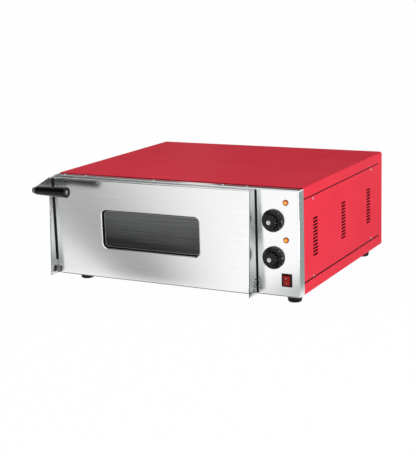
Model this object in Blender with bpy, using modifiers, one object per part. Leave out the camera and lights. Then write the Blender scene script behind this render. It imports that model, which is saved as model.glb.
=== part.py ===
# Countertop pizza oven with a drop-down door, modelled in metres with +Z up and the front facing -Y.
# The casing is drawn about its own corner lines: X = 0 on its centre, Y = 0 on the front edge of the
# red cover and Z = 0 under the base tray. One empty then shifts it all to the middle of its footprint.
import math

import bmesh
import bpy
from mathutils import Matrix, Vector

# Casing
body_width = 0.675
body_depth = 0.543
body_height = 0.255
sheet = 0.0012
seat_gap = 0.0003
cut_reach = 0.010
fold_radius = 0.0025
cover_flange = 0.0258
base_flange = 0.0274
panel_joggle = 0.0016
joggle_gap = 0.0008
joggle_radius = 0.0005
rear_wrap = 0.030
panel_tuck = 0.014

# Vent slots in the side panels
slot_rows = 12
slot_pitch = 0.008
slot_length = 0.029
slot_height = 0.004
slot_middle_z = 0.1272
slot_columns = 3
slot_first_y = 0.069
slot_column_pitch = 0.1827
slot_sides = 8

# Feet
foot_height = 0.0288
foot_top_radius = 0.0187
foot_bottom_radius = 0.0149
foot_from_side = 0.042
foot_from_end = 0.0386
foot_rim = 0.002
foot_recess = 0.006

# Front panel and baking chamber
front_stand = 0.028
front_drop = 0.002
chamber_width = 0.450
chamber_depth = 0.440
chamber_floor_z = 0.048
chamber_height = 0.148
chamber_lip = 0.012
wool = 0.022
support_width = 0.040
support_foot = 0.015
support_front_y = 0.080
support_rear_y = 0.360

# Stone and its ledges
stone_thickness = 0.012
stone_side_gap = 0.0015
stone_front_gap = 0.006
stone_depth = 0.428
stone_edge = 0.0015
ledge_height = 0.020
ledge_shelf = 0.014
ledge_clearance = 0.0013
ledge_fold = 0.0015

# Heating elements
element_radius = 0.004
element_runs = 4
element_first_y = 0.060
element_pitch = 0.100
element_side_gap = 0.030
element_tail = 0.018
lower_element_rise = 0.007
upper_element_drop = 0.011
rack_sheet = 0.0015
rack_end = 0.014
rack_stand = 0.005

# Door
door_side_margin = 0.006
control_width = 0.108
door_top_drop = 0.003
door_bottom = 0.001
door_face_stand = 0.0155
door_gap = 0.0008
swing_clearance = 0.0004
inner_flange = 0.0075
plate_sheet = 0.002
plate_top_drop = 0.001
plate_top_reach = 0.028
plate_bottom_reach = 0.044
window_width = 0.274
window_height = 0.097
window_middle_z = 0.127
window_radius = 0.013
window_lining = 0.0018
glass_thickness = 0.004
glass_margin = 0.008
hinge_z = 0.012
pin_radius = 0.0025
pin_clearance = 0.001
pin_head_radius = 0.005
pin_head = 0.002
pin_tip = 0.001
bracket_sheet = 0.003
bracket_inset = 0.006
bracket_knuckle = 0.007
bracket_foot = 0.014
bracket_foot_height = 0.026
notch_side = 0.0015

# Handle on the left side plate
handle_stand = 0.085
handle_drop = 0.023
lug_radius = 0.009
lug_height = 0.033
grip_length = 0.098
grip_root_radius = 0.0105
grip_end_radius = 0.013
grip_socket = 0.040
grip_edge = 0.002
bolt_radius = 0.003
bolt_head_radius = 0.0075
bolt_head = 0.0036
bolt_rim = 0.0014
washer = 0.0012
washer_radius = 0.0085

# Controls
knob_from_side = 0.065
knob_drop = 0.073
knob_pitch = 0.088
knob_names = ("upper", "lower")
skirt_radius = 0.026
skirt_height = 0.005
grip_knob_radius = 0.0165
knob_height = 0.026
knob_edge = 0.002
knob_lift = 0.0008
knob_flutes = 14
flute_radius = 0.0022
flute_offset = 0.0013
flute_above_skirt = 0.0025
cap_radius = 0.0068
cap_thickness = 0.0016
cap_edge = 0.0005
shaft_radius = 0.003
shaft_in_knob = 0.016
shaft_in_thermostat = 0.012
thermostat_width = 0.038
thermostat_depth = 0.030
thermostat_corner = 0.004
capillary_radius = 0.001
capillary_lead = 0.006
capillary_bend = 0.015
bulb_radius = 0.003
bulb_length = 0.095
bulb_neck = 0.004
bulb_y = 0.110
lamp_from_side = 0.033
lamp_above_knob = 0.0437
lamp_radius = 0.007
lamp_rim = 0.001
lamp_dome = 0.0055
lamp_stem_radius = 0.0045
lamp_stem = 0.013
lamp_nut_wall = 0.0035
lamp_nut_depth = 0.004
switch_from_side = 0.0325
switch_z = 0.0404
switch_width = 0.0255
switch_height = 0.031
switch_bezel = 0.0022
switch_lip = 0.0016
switch_case_depth = 0.018
rocker_width = 0.0165
rocker_half = 0.012
rocker_crown = 0.005
rocker_dip = 0.003
rocker_back = 0.004
rocker_shave = 0.0002
rocker_room = 0.0012
rocker_pivot = 0.0005
rocker_well = 0.0065
rocker_tilt = math.radians(9)

# Rear and wiring
gland_from_side = 0.0875
gland_z = 0.060
gland_flange_radius = 0.012
gland_neck_radius = 0.0095
gland_tail_radius = 0.008
gland_tail = 0.012
gland_bore = 0.0045
gland_stand = 0.014
gland_flange = 0.004
gland_edge = 0.002
block_length = 0.062
block_width = 0.022
block_height = 0.026
block_from_side = 0.0695
block_y = 0.300
block_poles = 3
terminal_radius = 0.004
terminal_z = 0.0156

# Planes and lines that several pieces share
half_width = body_width / 2
cover_bottom_z = body_height - cover_flange
front_y = -front_stand
panel_back_y = front_y + sheet
front_top_z = body_height - front_drop
door_face_y = front_y - door_face_stand
door_rear_y = front_y - door_gap
hinge_stand = door_face_stand + pin_radius + pin_clearance
hinge_y = front_y - hinge_stand
swing_radius = hinge_stand - swing_clearance
skin_rear_y = hinge_y + math.sqrt(swing_radius**2 - (hinge_z - door_bottom) ** 2) - pin_clearance
inner_bottom = hinge_z - math.sqrt(swing_radius**2 - (hinge_stand - door_gap) ** 2)
handle_y = front_y - handle_stand
door_left = door_side_margin - half_width
door_right = half_width - control_width
door_top = front_top_z - door_top_drop
plate_top = front_top_z - plate_top_drop
handle_z = plate_top - handle_drop
lug_root_z = handle_z - lug_height
chamber_middle_x = (door_left + door_right) / 2
chamber_left = chamber_middle_x - chamber_width / 2
chamber_right = chamber_middle_x + chamber_width / 2
chamber_top_z = chamber_floor_z + chamber_height
wool_bottom_z = chamber_floor_z - sheet - seat_gap - wool
knob_x = half_width - knob_from_side
knob_heights_z = (front_top_z - knob_drop, front_top_z - knob_drop - knob_pitch)
lamp_x = half_width - lamp_from_side
switch_x = half_width - switch_from_side
gland_x = half_width - gland_from_side
side_end_y = body_depth - rear_wrap - seat_gap
front_reach = handle_y - grip_end_radius
rear_reach = body_depth + seat_gap + gland_stand
root_shift_y = -(front_reach + rear_reach) / 2

for old in list(bpy.data.objects):
    bpy.data.objects.remove(old, do_unlink=True)

scene_root = bpy.context.scene.collection
parts = bpy.data.collections.new("countertop_pizza_oven")
cutters = bpy.data.collections.new("cutters")
scene_root.children.link(parts)
scene_root.children.link(cutters)


def add_empty(name, place, parent=None):
    empty = bpy.data.objects.new(name, None)
    parts.objects.link(empty)
    empty.location = place
    empty.parent = parent
    return empty


oven = add_empty("oven_frame", (0.0, root_shift_y, foot_height))
door = add_empty("door_axis", (0.0, hinge_y, hinge_z), oven)


def finish_material(name, colour, roughness, metallic=0.0, alpha=1.0):
    made = bpy.data.materials.new(name)
    made.use_nodes = True
    shader = made.node_tree.nodes["Principled BSDF"]
    shader.inputs["Base Color"].default_value = (*colour, 1.0)
    shader.inputs["Roughness"].default_value = roughness
    shader.inputs["Metallic"].default_value = metallic
    shader.inputs["Alpha"].default_value = alpha
    return made


red_enamel = finish_material("red_powder_coat", (0.62, 0.035, 0.05), 0.45)
polished_steel = finish_material("polished_stainless", (0.62, 0.62, 0.61), 0.18, 1.0)
plain_steel = finish_material("plain_steel", (0.45, 0.45, 0.44), 0.4, 1.0)
black_bakelite = finish_material("black_bakelite", (0.012, 0.012, 0.012), 0.35)
black_rubber = finish_material("black_rubber", (0.02, 0.02, 0.02), 0.8)
mineral_wool = finish_material("mineral_wool", (0.62, 0.58, 0.45), 0.95)
cordierite = finish_material("cordierite", (0.62, 0.52, 0.38), 0.9)
element_sheath = finish_material("element_sheath", (0.09, 0.085, 0.08), 0.55, 1.0)
smoked_glass = finish_material("smoked_glass", (0.03, 0.035, 0.035), 0.05, 0.0, 0.5)
amber_lens = finish_material("amber_lens", (0.9, 0.28, 0.01), 0.12)
red_rocker = finish_material("red_rocker", (0.55, 0.012, 0.01), 0.3)
steatite = finish_material("steatite", (0.82, 0.8, 0.74), 0.5)


def place_object(name, data, material, parent=oven, cutter=False):
    made = bpy.data.objects.new(name, data)
    (cutters if cutter else parts).objects.link(made)
    made.parent = parent
    if parent is door:
        made.location = -door.location
    if cutter:
        made.hide_render = True
        made.display_type = "WIRE"
    else:
        data.materials.append(material)
    return made


def box_mesh(low, high):
    shape = bmesh.new()
    bmesh.ops.create_cube(shape, size=1.0)
    low, high = Vector(low), Vector(high)
    bmesh.ops.scale(shape, vec=high - low, verts=shape.verts)
    bmesh.ops.translate(shape, vec=(low + high) / 2, verts=shape.verts)
    return shape


def to_mesh(name, shape):
    mesh = bpy.data.meshes.new(name)
    shape.to_mesh(mesh)
    shape.free()
    return mesh


def round_edges(shape, axis, radius, segments=4):
    along = [e for e in shape.edges if abs((e.verts[0].co - e.verts[1].co).normalized()[axis]) > 0.99]
    bmesh.ops.bevel(shape, geom=along, offset=radius, segments=segments, profile=0.5,
                    affect="EDGES", material=-1)


def block(name, low, high, material, parent=oven, axis=None, radius=0.0, cutter=False):
    shape = box_mesh(low, high)
    if axis is not None:
        round_edges(shape, axis, radius)
    return place_object(name, to_mesh(name, shape), material, parent, cutter)


def cut(target, *tools):
    for tool in tools:
        boolean = target.modifiers.new(tool.name, "BOOLEAN")
        boolean.operation = "DIFFERENCE"
        boolean.object = tool
    return target


def cutter_block(name, low, high, parent=oven, axis=None, radius=0.0):
    return block(name, low, high, None, parent, axis, radius, cutter=True)


def cutter_rod(name, start, end, radius, parent=oven, sides=20):
    start, end = Vector(start), Vector(end)
    shape = bmesh.new()
    turn = (end - start).to_track_quat("Z", "Y").to_matrix().to_4x4()
    bmesh.ops.create_cone(shape, cap_ends=True, segments=sides, radius1=radius, radius2=radius,
                          depth=(end - start).length, matrix=Matrix.Translation((start + end) / 2) @ turn)
    return place_object(name, to_mesh(name, shape), None, parent, cutter=True)


def fold(made, thickness, radius=fold_radius, segments=2):
    # A folded sheet: bends rounded on the middle surface, then given its thickness both ways.
    bend = made.modifiers.new("bend", "BEVEL")
    bend.width = radius
    bend.segments = segments
    bend.limit_method = "ANGLE"
    bend.angle_limit = math.radians(20)
    gauge = made.modifiers.new("gauge", "SOLIDIFY")
    gauge.thickness = thickness
    gauge.offset = 0.0
    gauge.use_even_offset = True
    return made


def open_tray(name, low, high, open_axis, open_high, material, parent=oven, thickness=sheet,
              radius=fold_radius):
    # A five-sided tray given by its outer box; the side that stays open is named by axis and end.
    inset = [thickness / 2] * 3
    low_inset = list(inset)
    high_inset = list(inset)
    (high_inset if open_high else low_inset)[open_axis] = 0.0
    shape = box_mesh(Vector(low) + Vector(low_inset), Vector(high) - Vector(high_inset))
    sign = 1.0 if open_high else -1.0
    mouth = [f for f in shape.faces if f.normal[open_axis] * sign > 0.9]
    bmesh.ops.delete(shape, geom=mouth, context="FACES_ONLY")
    return fold(place_object(name, to_mesh(name, shape), material, parent), thickness, radius)


def strip(name, points, along, start, end, material, parent=oven, thickness=sheet, radius=fold_radius):
    # A folded strip: an open outline on its middle surface, drawn out along one axis.
    others = [axis for axis in range(3) if axis != along]
    shape = bmesh.new()
    row = []
    for first, second in points:
        corner = [0.0, 0.0, 0.0]
        corner[along] = start
        corner[others[0]] = first
        corner[others[1]] = second
        row.append(shape.verts.new(corner))
    edges = [shape.edges.new(pair) for pair in zip(row, row[1:])]
    drawn = bmesh.ops.extrude_edge_only(shape, edges=edges)["geom"]
    step = [0.0, 0.0, 0.0]
    step[along] = end - start
    bmesh.ops.translate(shape, vec=step, verts=[g for g in drawn if isinstance(g, bmesh.types.BMVert)])
    bmesh.ops.recalc_face_normals(shape, faces=shape.faces)
    return fold(place_object(name, to_mesh(name, shape), material, parent), thickness, radius)


def turned(name, profile, material, parent=oven, steps=32, closed=False):
    # A turned piece: its outline from top to bottom, swept about its own Z axis.
    count = len(profile)
    edges = [(i, i + 1) for i in range(count - 1)]
    if closed:
        edges.append((count - 1, 0))
    mesh = bpy.data.meshes.new(name)
    mesh.from_pydata([(radius, 0.0, height) for radius, height in profile], edges, [])
    made = place_object(name, mesh, material, parent)
    screw = made.modifiers.new("turning", "SCREW")
    screw.steps = steps
    screw.render_steps = steps
    screw.use_smooth_shade = True
    screw.use_merge_vertices = True
    screw.merge_threshold = 0.00001
    return made


def seat_turned(made, place, facing):
    # Turns a piece so that its own +Z faces the given way, with its origin at the given place.
    made.rotation_euler = Vector(facing).to_track_quat("Z", "Y").to_euler()
    offset = door.location if made.parent is door else Vector((0.0, 0.0, 0.0))
    made.location = Vector(place) - offset
    return made


def flat_plate(name, outline, thickness, middle_x, material, parent=oven):
    # A flat plate square to X: its outline in Y and Z as a filled curve, made a mesh so it can be cut.
    curve = bpy.data.curves.new(name, "CURVE")
    curve.dimensions = "2D"
    curve.fill_mode = "BOTH"
    curve.extrude = thickness / 2
    spline = curve.splines.new("POLY")
    spline.points.add(len(outline) - 1)
    for point, (y, z) in zip(spline.points, outline):
        point.co = (y, z, 0.0, 1.0)
    spline.use_cyclic_u = True
    drawn = bpy.data.objects.new(name + "_outline", curve)
    cutters.objects.link(drawn)
    bpy.context.view_layer.update()
    mesh = bpy.data.meshes.new_from_object(drawn.evaluated_get(bpy.context.evaluated_depsgraph_get()))
    bpy.data.objects.remove(drawn, do_unlink=True)
    shape = bmesh.new()
    shape.from_mesh(mesh)
    bmesh.ops.remove_doubles(shape, verts=shape.verts, dist=0.00001)
    swap = Matrix(((0, 0, 1, middle_x), (1, 0, 0, 0), (0, 1, 0, 0), (0, 0, 0, 1)))
    bmesh.ops.transform(shape, matrix=swap, verts=shape.verts)
    shape.to_mesh(mesh)
    shape.free()
    mesh.name = name
    mesh.materials.clear()
    return place_object(name, mesh, material, parent)


def tube(name, points, radius, material, swell=None):
    # A round tube through its points; swell gives some points a larger radius.
    curve = bpy.data.curves.new(name, "CURVE")
    curve.dimensions = "3D"
    curve.bevel_depth = radius
    curve.bevel_resolution = 2
    curve.use_fill_caps = True
    spline = curve.splines.new("POLY")
    spline.points.add(len(points) - 1)
    for index, point in enumerate(points):
        spline.points[index].co = (*point, 1.0)
        spline.points[index].radius = swell[index] if swell else 1.0
    return place_object(name, curve, material)


def arc(centre, radius, start, end, steps):
    turns = [math.radians(start + (end - start) * i / steps) for i in range(steps + 1)]
    return [(centre[0] + radius * math.cos(a), centre[1] + radius * math.sin(a)) for a in turns]


def dome(radius, rise, base, steps):
    # The outline of a domed top, from its crown down to its edge.
    turns = [math.pi / 2 * i / steps for i in range(steps + 1)]
    return [(radius * math.sin(a), base + rise * math.cos(a)) for a in turns]


def vent_cutter(name, middle_x):
    # Every slot of one side panel: a rod drawn apart into a bar with round ends, in columns of even pitch.
    shape = bmesh.new()
    half_side = math.pi / slot_sides
    radius = slot_height / 2 / math.cos(half_side)
    half_run = (slot_length - slot_height) / 2
    sideways = Matrix.Rotation(math.pi / 2, 4, "Y") @ Matrix.Rotation(half_side, 4, "Z")
    for column in range(slot_columns):
        column_y = slot_first_y + column * slot_column_pitch
        for row in range(slot_rows):
            z = slot_middle_z + (row - (slot_rows - 1) / 2) * slot_pitch
            rod = bmesh.ops.create_cone(shape, cap_ends=True, segments=slot_sides, radius1=radius,
                                        radius2=radius, depth=2 * cut_reach,
                                        matrix=Matrix.Translation((middle_x, column_y, z)) @ sideways)
            for corner in rod["verts"]:
                corner.co.y += math.copysign(half_run, corner.co.y - column_y)
    return place_object(name, to_mesh(name, shape), None, oven, cutter=True)


def make_casing():
    outer = half_width - sheet / 2
    crown = body_height - sheet / 2
    cover_line = [(-outer, cover_bottom_z), (-outer, crown), (outer, crown), (outer, cover_bottom_z)]
    cover = strip("top_cover", cover_line, 1, 0.0, body_depth, red_enamel)
    rear_top = body_height - sheet - seat_gap
    for side, sign in (("left", -1), ("right", 1)):
        low_x, high_x = sorted((sign * (half_width - sheet - fold_radius), sign * (half_width + cut_reach)))
        cut(cover, cutter_block(side + "_cover_notch", (low_x, side_end_y, cover_bottom_z - cut_reach),
                                (high_x, body_depth + cut_reach, rear_top + seat_gap / 2)))
    floor = sheet / 2
    strip("base_tray", [(-outer, base_flange), (-outer, floor), (outer, floor), (outer, base_flange)],
          1, 0.0, side_end_y, red_enamel)
    rear = open_tray("rear_panel", (-half_width, side_end_y + seat_gap, 0.0),
                     (half_width, body_depth, rear_top), 1, False, red_enamel)
    cut(rear, cutter_rod("gland_hole", (gland_x, body_depth - cut_reach, gland_z),
                         (gland_x, body_depth + cut_reach, gland_z), gland_tail_radius + seat_gap))
    for side, sign in (("left", -1), ("right", 1)):
        face = sign * outer
        tucked = sign * (outer - sheet - seat_gap)
        low_bend = base_flange + joggle_gap
        high_bend = cover_bottom_z - joggle_gap
        outline = [(tucked, base_flange - panel_tuck), (tucked, low_bend), (face, low_bend + panel_joggle),
                   (face, high_bend - panel_joggle), (tucked, high_bend),
                   (tucked, cover_bottom_z + panel_tuck)]
        panel = strip(side + "_side_panel", outline, 1, seat_gap, side_end_y, red_enamel,
                      radius=joggle_radius)
        cut(panel, vent_cutter(side + "_vents", face))


def make_feet():
    well_z = foot_recess - foot_height
    outline = [(0.0, -seat_gap), (foot_top_radius, -seat_gap), (foot_bottom_radius, foot_rim - foot_height),
               (foot_bottom_radius - foot_rim, -foot_height), (foot_recess, -foot_height),
               (foot_recess, well_z), (0.0, well_z)]
    for row, y in (("front", foot_from_end), ("rear", body_depth - seat_gap - foot_from_end)):
        for side, sign in (("left", -1), ("right", 1)):
            foot = turned(row + "_" + side + "_foot", outline, black_rubber, steps=24)
            foot.location = (sign * (half_width - foot_from_side), y, 0.0)


def make_front_panel():
    panel = open_tray("front_panel", (-half_width, front_y, 0.0), (half_width, -seat_gap, front_top_z),
                      1, True, polished_steel)
    before_y, behind_y = front_y - cut_reach, front_y + cut_reach
    cut(panel, cutter_block("oven_mouth", (chamber_left, before_y, chamber_floor_z),
                            (chamber_right, behind_y, chamber_top_z), oven, 1, fold_radius))
    for name, z in zip(knob_names, knob_heights_z):
        lamp_z = z + lamp_above_knob
        cut(panel, cutter_rod(name + "_shaft_hole", (knob_x, before_y, z), (knob_x, behind_y, z),
                              shaft_radius + 2 * seat_gap))
        cut(panel, cutter_rod(name + "_lamp_hole", (lamp_x, before_y, lamp_z), (lamp_x, behind_y, lamp_z),
                              lamp_stem_radius + seat_gap))
    case_x, case_z = switch_case_half()
    case_x += seat_gap
    case_z += seat_gap
    cut(panel, cutter_block("switch_hole", (switch_x - case_x, before_y, switch_z - case_z),
                            (switch_x + case_x, behind_y, switch_z + case_z)))
    for side, (low_x, high_x) in bracket_spans().items():
        cut(panel, cutter_block(side + "_hinge_slot",
                                (low_x - seat_gap, before_y, hinge_z - bracket_knuckle - seat_gap),
                                (high_x + seat_gap, behind_y, hinge_z + bracket_knuckle + seat_gap)))


def switch_case_half():
    return switch_width / 2 - switch_lip, switch_height / 2 - switch_lip


def bracket_spans():
    left = door_left + plate_sheet + bracket_inset
    right = door_right - plate_sheet - bracket_inset
    return {"left": (left, left + bracket_sheet), "right": (right - bracket_sheet, right)}


def make_chamber():
    lip_y = panel_back_y + seat_gap + sheet / 2
    back_y = front_y + chamber_depth
    half = sheet / 2
    shape = box_mesh((chamber_left - half, lip_y, chamber_floor_z - half),
                     (chamber_right + half, back_y + half, chamber_top_z + half))
    bmesh.ops.delete(shape, geom=[f for f in shape.faces if f.normal.y < -0.9], context="FACES_ONLY")
    mouth = [e for e in shape.edges if e.is_boundary]
    grown = bmesh.ops.extrude_edge_only(shape, edges=mouth)["geom"]
    middle = Vector((chamber_middle_x, lip_y, chamber_floor_z + chamber_height / 2))
    for corner in [g for g in grown if isinstance(g, bmesh.types.BMVert)]:
        corner.co.x += math.copysign(chamber_lip, corner.co.x - middle.x)
        corner.co.z += math.copysign(chamber_lip, corner.co.z - middle.z)
    bmesh.ops.recalc_face_normals(shape, faces=shape.faces)
    chamber = fold(place_object("chamber", to_mesh("chamber", shape), plain_steel), sheet)

    fit = sheet + seat_gap
    jacket_front = lip_y + half + seat_gap + fold_radius
    jacket = block("insulation_jacket", (chamber_left - fit - wool, jacket_front, wool_bottom_z),
                   (chamber_right + fit + wool, back_y + fit + wool, chamber_top_z + fit + wool),
                   mineral_wool)
    cut(jacket, cutter_block("jacket_hollow",
                             (chamber_left - fit, jacket_front - cut_reach, chamber_floor_z - fit),
                             (chamber_right + fit, back_y + fit, chamber_top_z + fit)))
    through = (chamber_right - cut_reach, chamber_right + fit + wool + cut_reach)
    last_y = element_first_y + (element_runs - 1) * element_pitch
    for name, z in zip(knob_names, element_heights()):
        for place, y, radius in (("front", element_first_y, element_radius), ("bulb", bulb_y, bulb_radius),
                                 ("rear", last_y, element_radius)):
            hole = cutter_rod(name + "_" + place + "_hole", (through[0], y, z), (through[1], y, z),
                              radius + seat_gap)
            cut(chamber, hole)
            cut(jacket, hole)

    low_z = sheet + seat_gap + half
    high_z = wool_bottom_z - seat_gap - half
    for name, y in (("front", support_front_y), ("rear", support_rear_y)):
        low_y, high_y = y - support_width / 2, y + support_width / 2
        outline = [(low_y - support_foot, low_z), (low_y, low_z), (low_y, high_z), (high_y, high_z),
                   (high_y, low_z), (high_y + support_foot, low_z)]
        strip(name + "_chamber_support", outline, 0, chamber_left, chamber_right, plain_steel)


def element_heights():
    return chamber_top_z - upper_element_drop, chamber_floor_z + lower_element_rise


def make_elements():
    bend = element_pitch / 2
    left_x = chamber_left + element_side_gap + bend + element_radius
    right_x = chamber_right - element_side_gap - bend - element_radius
    tail_x = chamber_right + sheet + seat_gap + wool + element_tail
    runs = [element_first_y + i * element_pitch for i in range(element_runs)]
    route = [(tail_x, runs[0])]
    for index, y in enumerate(runs[:-1]):
        leftward = index % 2 == 0
        centre = (left_x if leftward else right_x, y + bend)
        route += arc(centre, bend, -90, -270, 8) if leftward else arc(centre, bend, -90, 90, 8)
    route.append((tail_x, runs[-1]))
    for name, z in zip(knob_names, element_heights()):
        tube(name + "_heating_element", [(x, y, z) for x, y in route], element_radius, element_sheath)
        if name == "upper":
            low_z, high_z = z - element_radius - rack_stand, chamber_top_z - seat_gap
        else:
            low_z, high_z = chamber_floor_z + seat_gap, z + element_radius + rack_stand
        half = rack_sheet / 2
        rack = block(name + "_element_rack", (chamber_middle_x - half, runs[0] - rack_end, low_z),
                     (chamber_middle_x + half, runs[-1] + rack_end, high_z), plain_steel)
        for index, y in enumerate(runs):
            cut(rack, cutter_rod(f"{name}_rack_hole_{index}", (chamber_middle_x - cut_reach, y, z),
                                 (chamber_middle_x + cut_reach, y, z), element_radius + seat_gap, oven, 12))


def make_stone():
    shelf_z = chamber_floor_z + ledge_height
    front = front_y + stone_front_gap
    back = front + stone_depth
    stone = block("pizza_stone", (chamber_left + stone_side_gap, front, shelf_z + seat_gap),
                  (chamber_right - stone_side_gap, back, shelf_z + seat_gap + stone_thickness), cordierite)
    edge = stone.modifiers.new("worn_edge", "BEVEL")
    edge.width = stone_edge
    edge.segments = 2
    for side, wall, sign in (("left", chamber_left, 1), ("right", chamber_right, -1)):
        leg_x = wall + sign * (seat_gap + sheet / 2)
        level = shelf_z - sheet / 2
        foot_z = chamber_floor_z + lower_element_rise + element_radius + ledge_clearance
        outline = [(leg_x, foot_z), (leg_x, level), (leg_x + sign * ledge_shelf, level)]
        strip(side + "_stone_ledge", outline, 1, front, back, plain_steel, radius=ledge_fold)


def tangent_angle(centre, radius, point, side):
    # The angle, in degrees, at which a line from a point touches a circle, on its left (1) or right (-1).
    reach = Vector(point) - Vector(centre)
    return math.degrees(math.atan2(reach.y, reach.x) + side * math.acos(radius / reach.length))


def side_plate_outline(with_lug):
    swing = hinge_stand - door_gap
    top_front = (front_y - plate_top_reach, plate_top)
    bottom_front = (front_y - plate_bottom_reach, door_bottom)
    outline = [(door_rear_y, plate_top), top_front]
    if with_lug:
        eye = (handle_y, handle_z)
        share = (plate_top - lug_root_z) / (plate_top - door_bottom)
        root = (top_front[0] + share * (bottom_front[0] - top_front[0]), lug_root_z)
        start = tangent_angle(eye, lug_radius, top_front, 1)
        end = tangent_angle(eye, lug_radius, root, -1) + 360
        outline += arc(eye, lug_radius, start, end, 10) + [root]
    outline.append(bottom_front)
    lift = math.degrees(math.asin((hinge_z - door_bottom) / swing))
    return outline + arc((hinge_y, hinge_z), swing, -lift, 0, 5)


def make_door():
    left = door_left + plate_sheet + seat_gap
    right = door_right - plate_sheet - seat_gap
    nested = sheet + seat_gap
    window_x = chamber_middle_x
    before_y, behind_y = door_face_y - cut_reach, door_rear_y + cut_reach
    half_window = Vector((window_width / 2, window_height / 2))

    def window_box(name, spread, low_y, high_y, radius, material=None):
        half = half_window + Vector((spread, spread))
        return block(name, (window_x - half.x, low_y, window_middle_z - half.y),
                     (window_x + half.x, high_y, window_middle_z + half.y), material, door, 1, radius,
                     cutter=material is None)

    opening = window_box("window_opening", 0.0, before_y, behind_y, window_radius)
    notch_top = hinge_z + bracket_knuckle + notch_side
    notches = [cutter_block(side + "_hinge_notch",
                            (low_x - notch_side, before_y, door_bottom - cut_reach),
                            (high_x + notch_side, behind_y, notch_top), door)
               for side, (low_x, high_x) in bracket_spans().items()]

    skin = open_tray("door_skin", (left, door_face_y, door_bottom), (right, skin_rear_y, door_top),
                     1, True, polished_steel, door)
    cut(skin, opening, *notches)
    inner = open_tray("door_inner_panel", (left + nested, door_rear_y - inner_flange, inner_bottom),
                      (right - nested, door_rear_y, door_top - nested), 1, False, plain_steel, door)
    cut(inner, opening, *notches)

    glass_rear = door_rear_y - nested
    glass_front = glass_rear - glass_thickness
    window_box("door_glass", glass_margin, glass_front, glass_rear, window_radius, smoked_glass)
    lining = window_box("window_lining", window_lining, door_face_y + nested, glass_front - seat_gap,
                        window_radius + window_lining, black_rubber)
    cut(lining, opening)

    slack = sheet + fold_radius
    filling = block("door_insulation", (left + nested + slack, door_face_y + nested, inner_bottom + slack),
                    (right - nested - slack, glass_rear, door_top - nested - slack), mineral_wool, door)
    cut(filling, window_box("glass_seat", glass_margin + seat_gap, before_y, behind_y,
                            window_radius + seat_gap), *notches)

    for side, edge_x, sign in (("left", door_left, -1), ("right", door_right, 1)):
        plate = flat_plate(side + "_door_plate", side_plate_outline(side == "left"), plate_sheet,
                           edge_x - sign * plate_sheet / 2, polished_steel, door)
        low_x, high_x = edge_x - cut_reach, edge_x + cut_reach
        cut(plate, cutter_rod(side + "_pin_hole", (low_x, hinge_y, hinge_z), (high_x, hinge_y, hinge_z),
                              pin_radius + seat_gap, door))
        if side == "left":
            cut(plate, cutter_rod("bolt_hole", (low_x, handle_y, handle_z), (high_x, handle_y, handle_z),
                                  bolt_radius + seat_gap, door))
        pin_end = plate_sheet + seat_gap + bracket_inset + bracket_sheet + pin_tip
        soft = pin_head / 2
        pin_line = [(0.0, pin_head), (pin_head_radius - soft, pin_head), (pin_head_radius, pin_head - soft),
                    (pin_head_radius, 0.0), (pin_radius, 0.0), (pin_radius, -pin_end), (0.0, -pin_end)]
        pin = turned(side + "_hinge_pin", pin_line, plain_steel, door, 20)
        seat_turned(pin, (edge_x + sign * seat_gap, hinge_y, hinge_z), (sign, 0, 0))


def make_hinge_brackets():
    foot_front = panel_back_y + seat_gap
    foot_rear = foot_front + bracket_sheet
    for side, (low_x, high_x) in bracket_spans().items():
        outline = arc((hinge_y, hinge_z), bracket_knuckle, 90, 270, 10)
        outline += [(foot_rear, hinge_z - bracket_knuckle), (foot_rear, hinge_z + bracket_knuckle)]
        bracket = flat_plate(side + "_hinge_bracket", outline, bracket_sheet, (low_x + high_x) / 2,
                             plain_steel)
        buried = bracket_sheet / 6
        if side == "left":
            near, far = low_x + buried, high_x + bracket_foot
        else:
            near, far = low_x - bracket_foot, high_x - buried
        foot_z = hinge_z - bracket_knuckle + buried
        foot = cutter_block(side + "_bracket_foot", (near, foot_front, foot_z),
                            (far, foot_rear - buried, foot_z + bracket_foot_height))
        join = bracket.modifiers.new("foot", "BOOLEAN")
        join.operation = "UNION"
        join.object = foot
        cut(bracket, cutter_rod(side + "_bracket_hole", (low_x - cut_reach, hinge_y, hinge_z),
                                (high_x + cut_reach, hinge_y, hinge_z), pin_radius + seat_gap))


def make_handle():
    outside = door_left - seat_gap
    soft = grip_edge
    socket_radius = bolt_radius + seat_gap
    dish_z = grip_length - soft
    grip_line = [(0.0, dish_z), (grip_end_radius - 2.5 * soft, dish_z),
                 (grip_end_radius - 2 * soft, grip_length), (grip_end_radius - soft, grip_length),
                 (grip_end_radius, grip_length - soft),
                 (grip_end_radius, grip_length - 6 * soft), (grip_root_radius, soft),
                 (grip_root_radius - soft, 0.0), (socket_radius, 0.0), (socket_radius, grip_socket),
                 (0.0, grip_socket)]
    grip = turned("handle_grip", grip_line, black_bakelite, door, 24)
    seat_turned(grip, (door_left + plate_sheet + seat_gap, handle_y, handle_z), (1, 0, 0))
    washer_line = [(washer_radius, washer), (washer_radius, 0.0),
                   (socket_radius, 0.0), (socket_radius, washer)]
    ring = turned("handle_washer", washer_line, plain_steel, door, 24, True)
    seat_turned(ring, (outside, handle_y, handle_z), (-1, 0, 0))
    shank = washer + plate_sheet + grip_socket
    bolt_line = dome(bolt_head_radius, bolt_head - bolt_rim, bolt_rim, 3)
    bolt_line += [(bolt_head_radius, 0.0), (bolt_radius, 0.0), (bolt_radius, -shank), (0.0, -shank)]
    bolt = turned("handle_bolt", bolt_line, black_bakelite, door, 24)
    seat_turned(bolt, (outside - washer - seat_gap, handle_y, handle_z), (-1, 0, 0))


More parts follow.
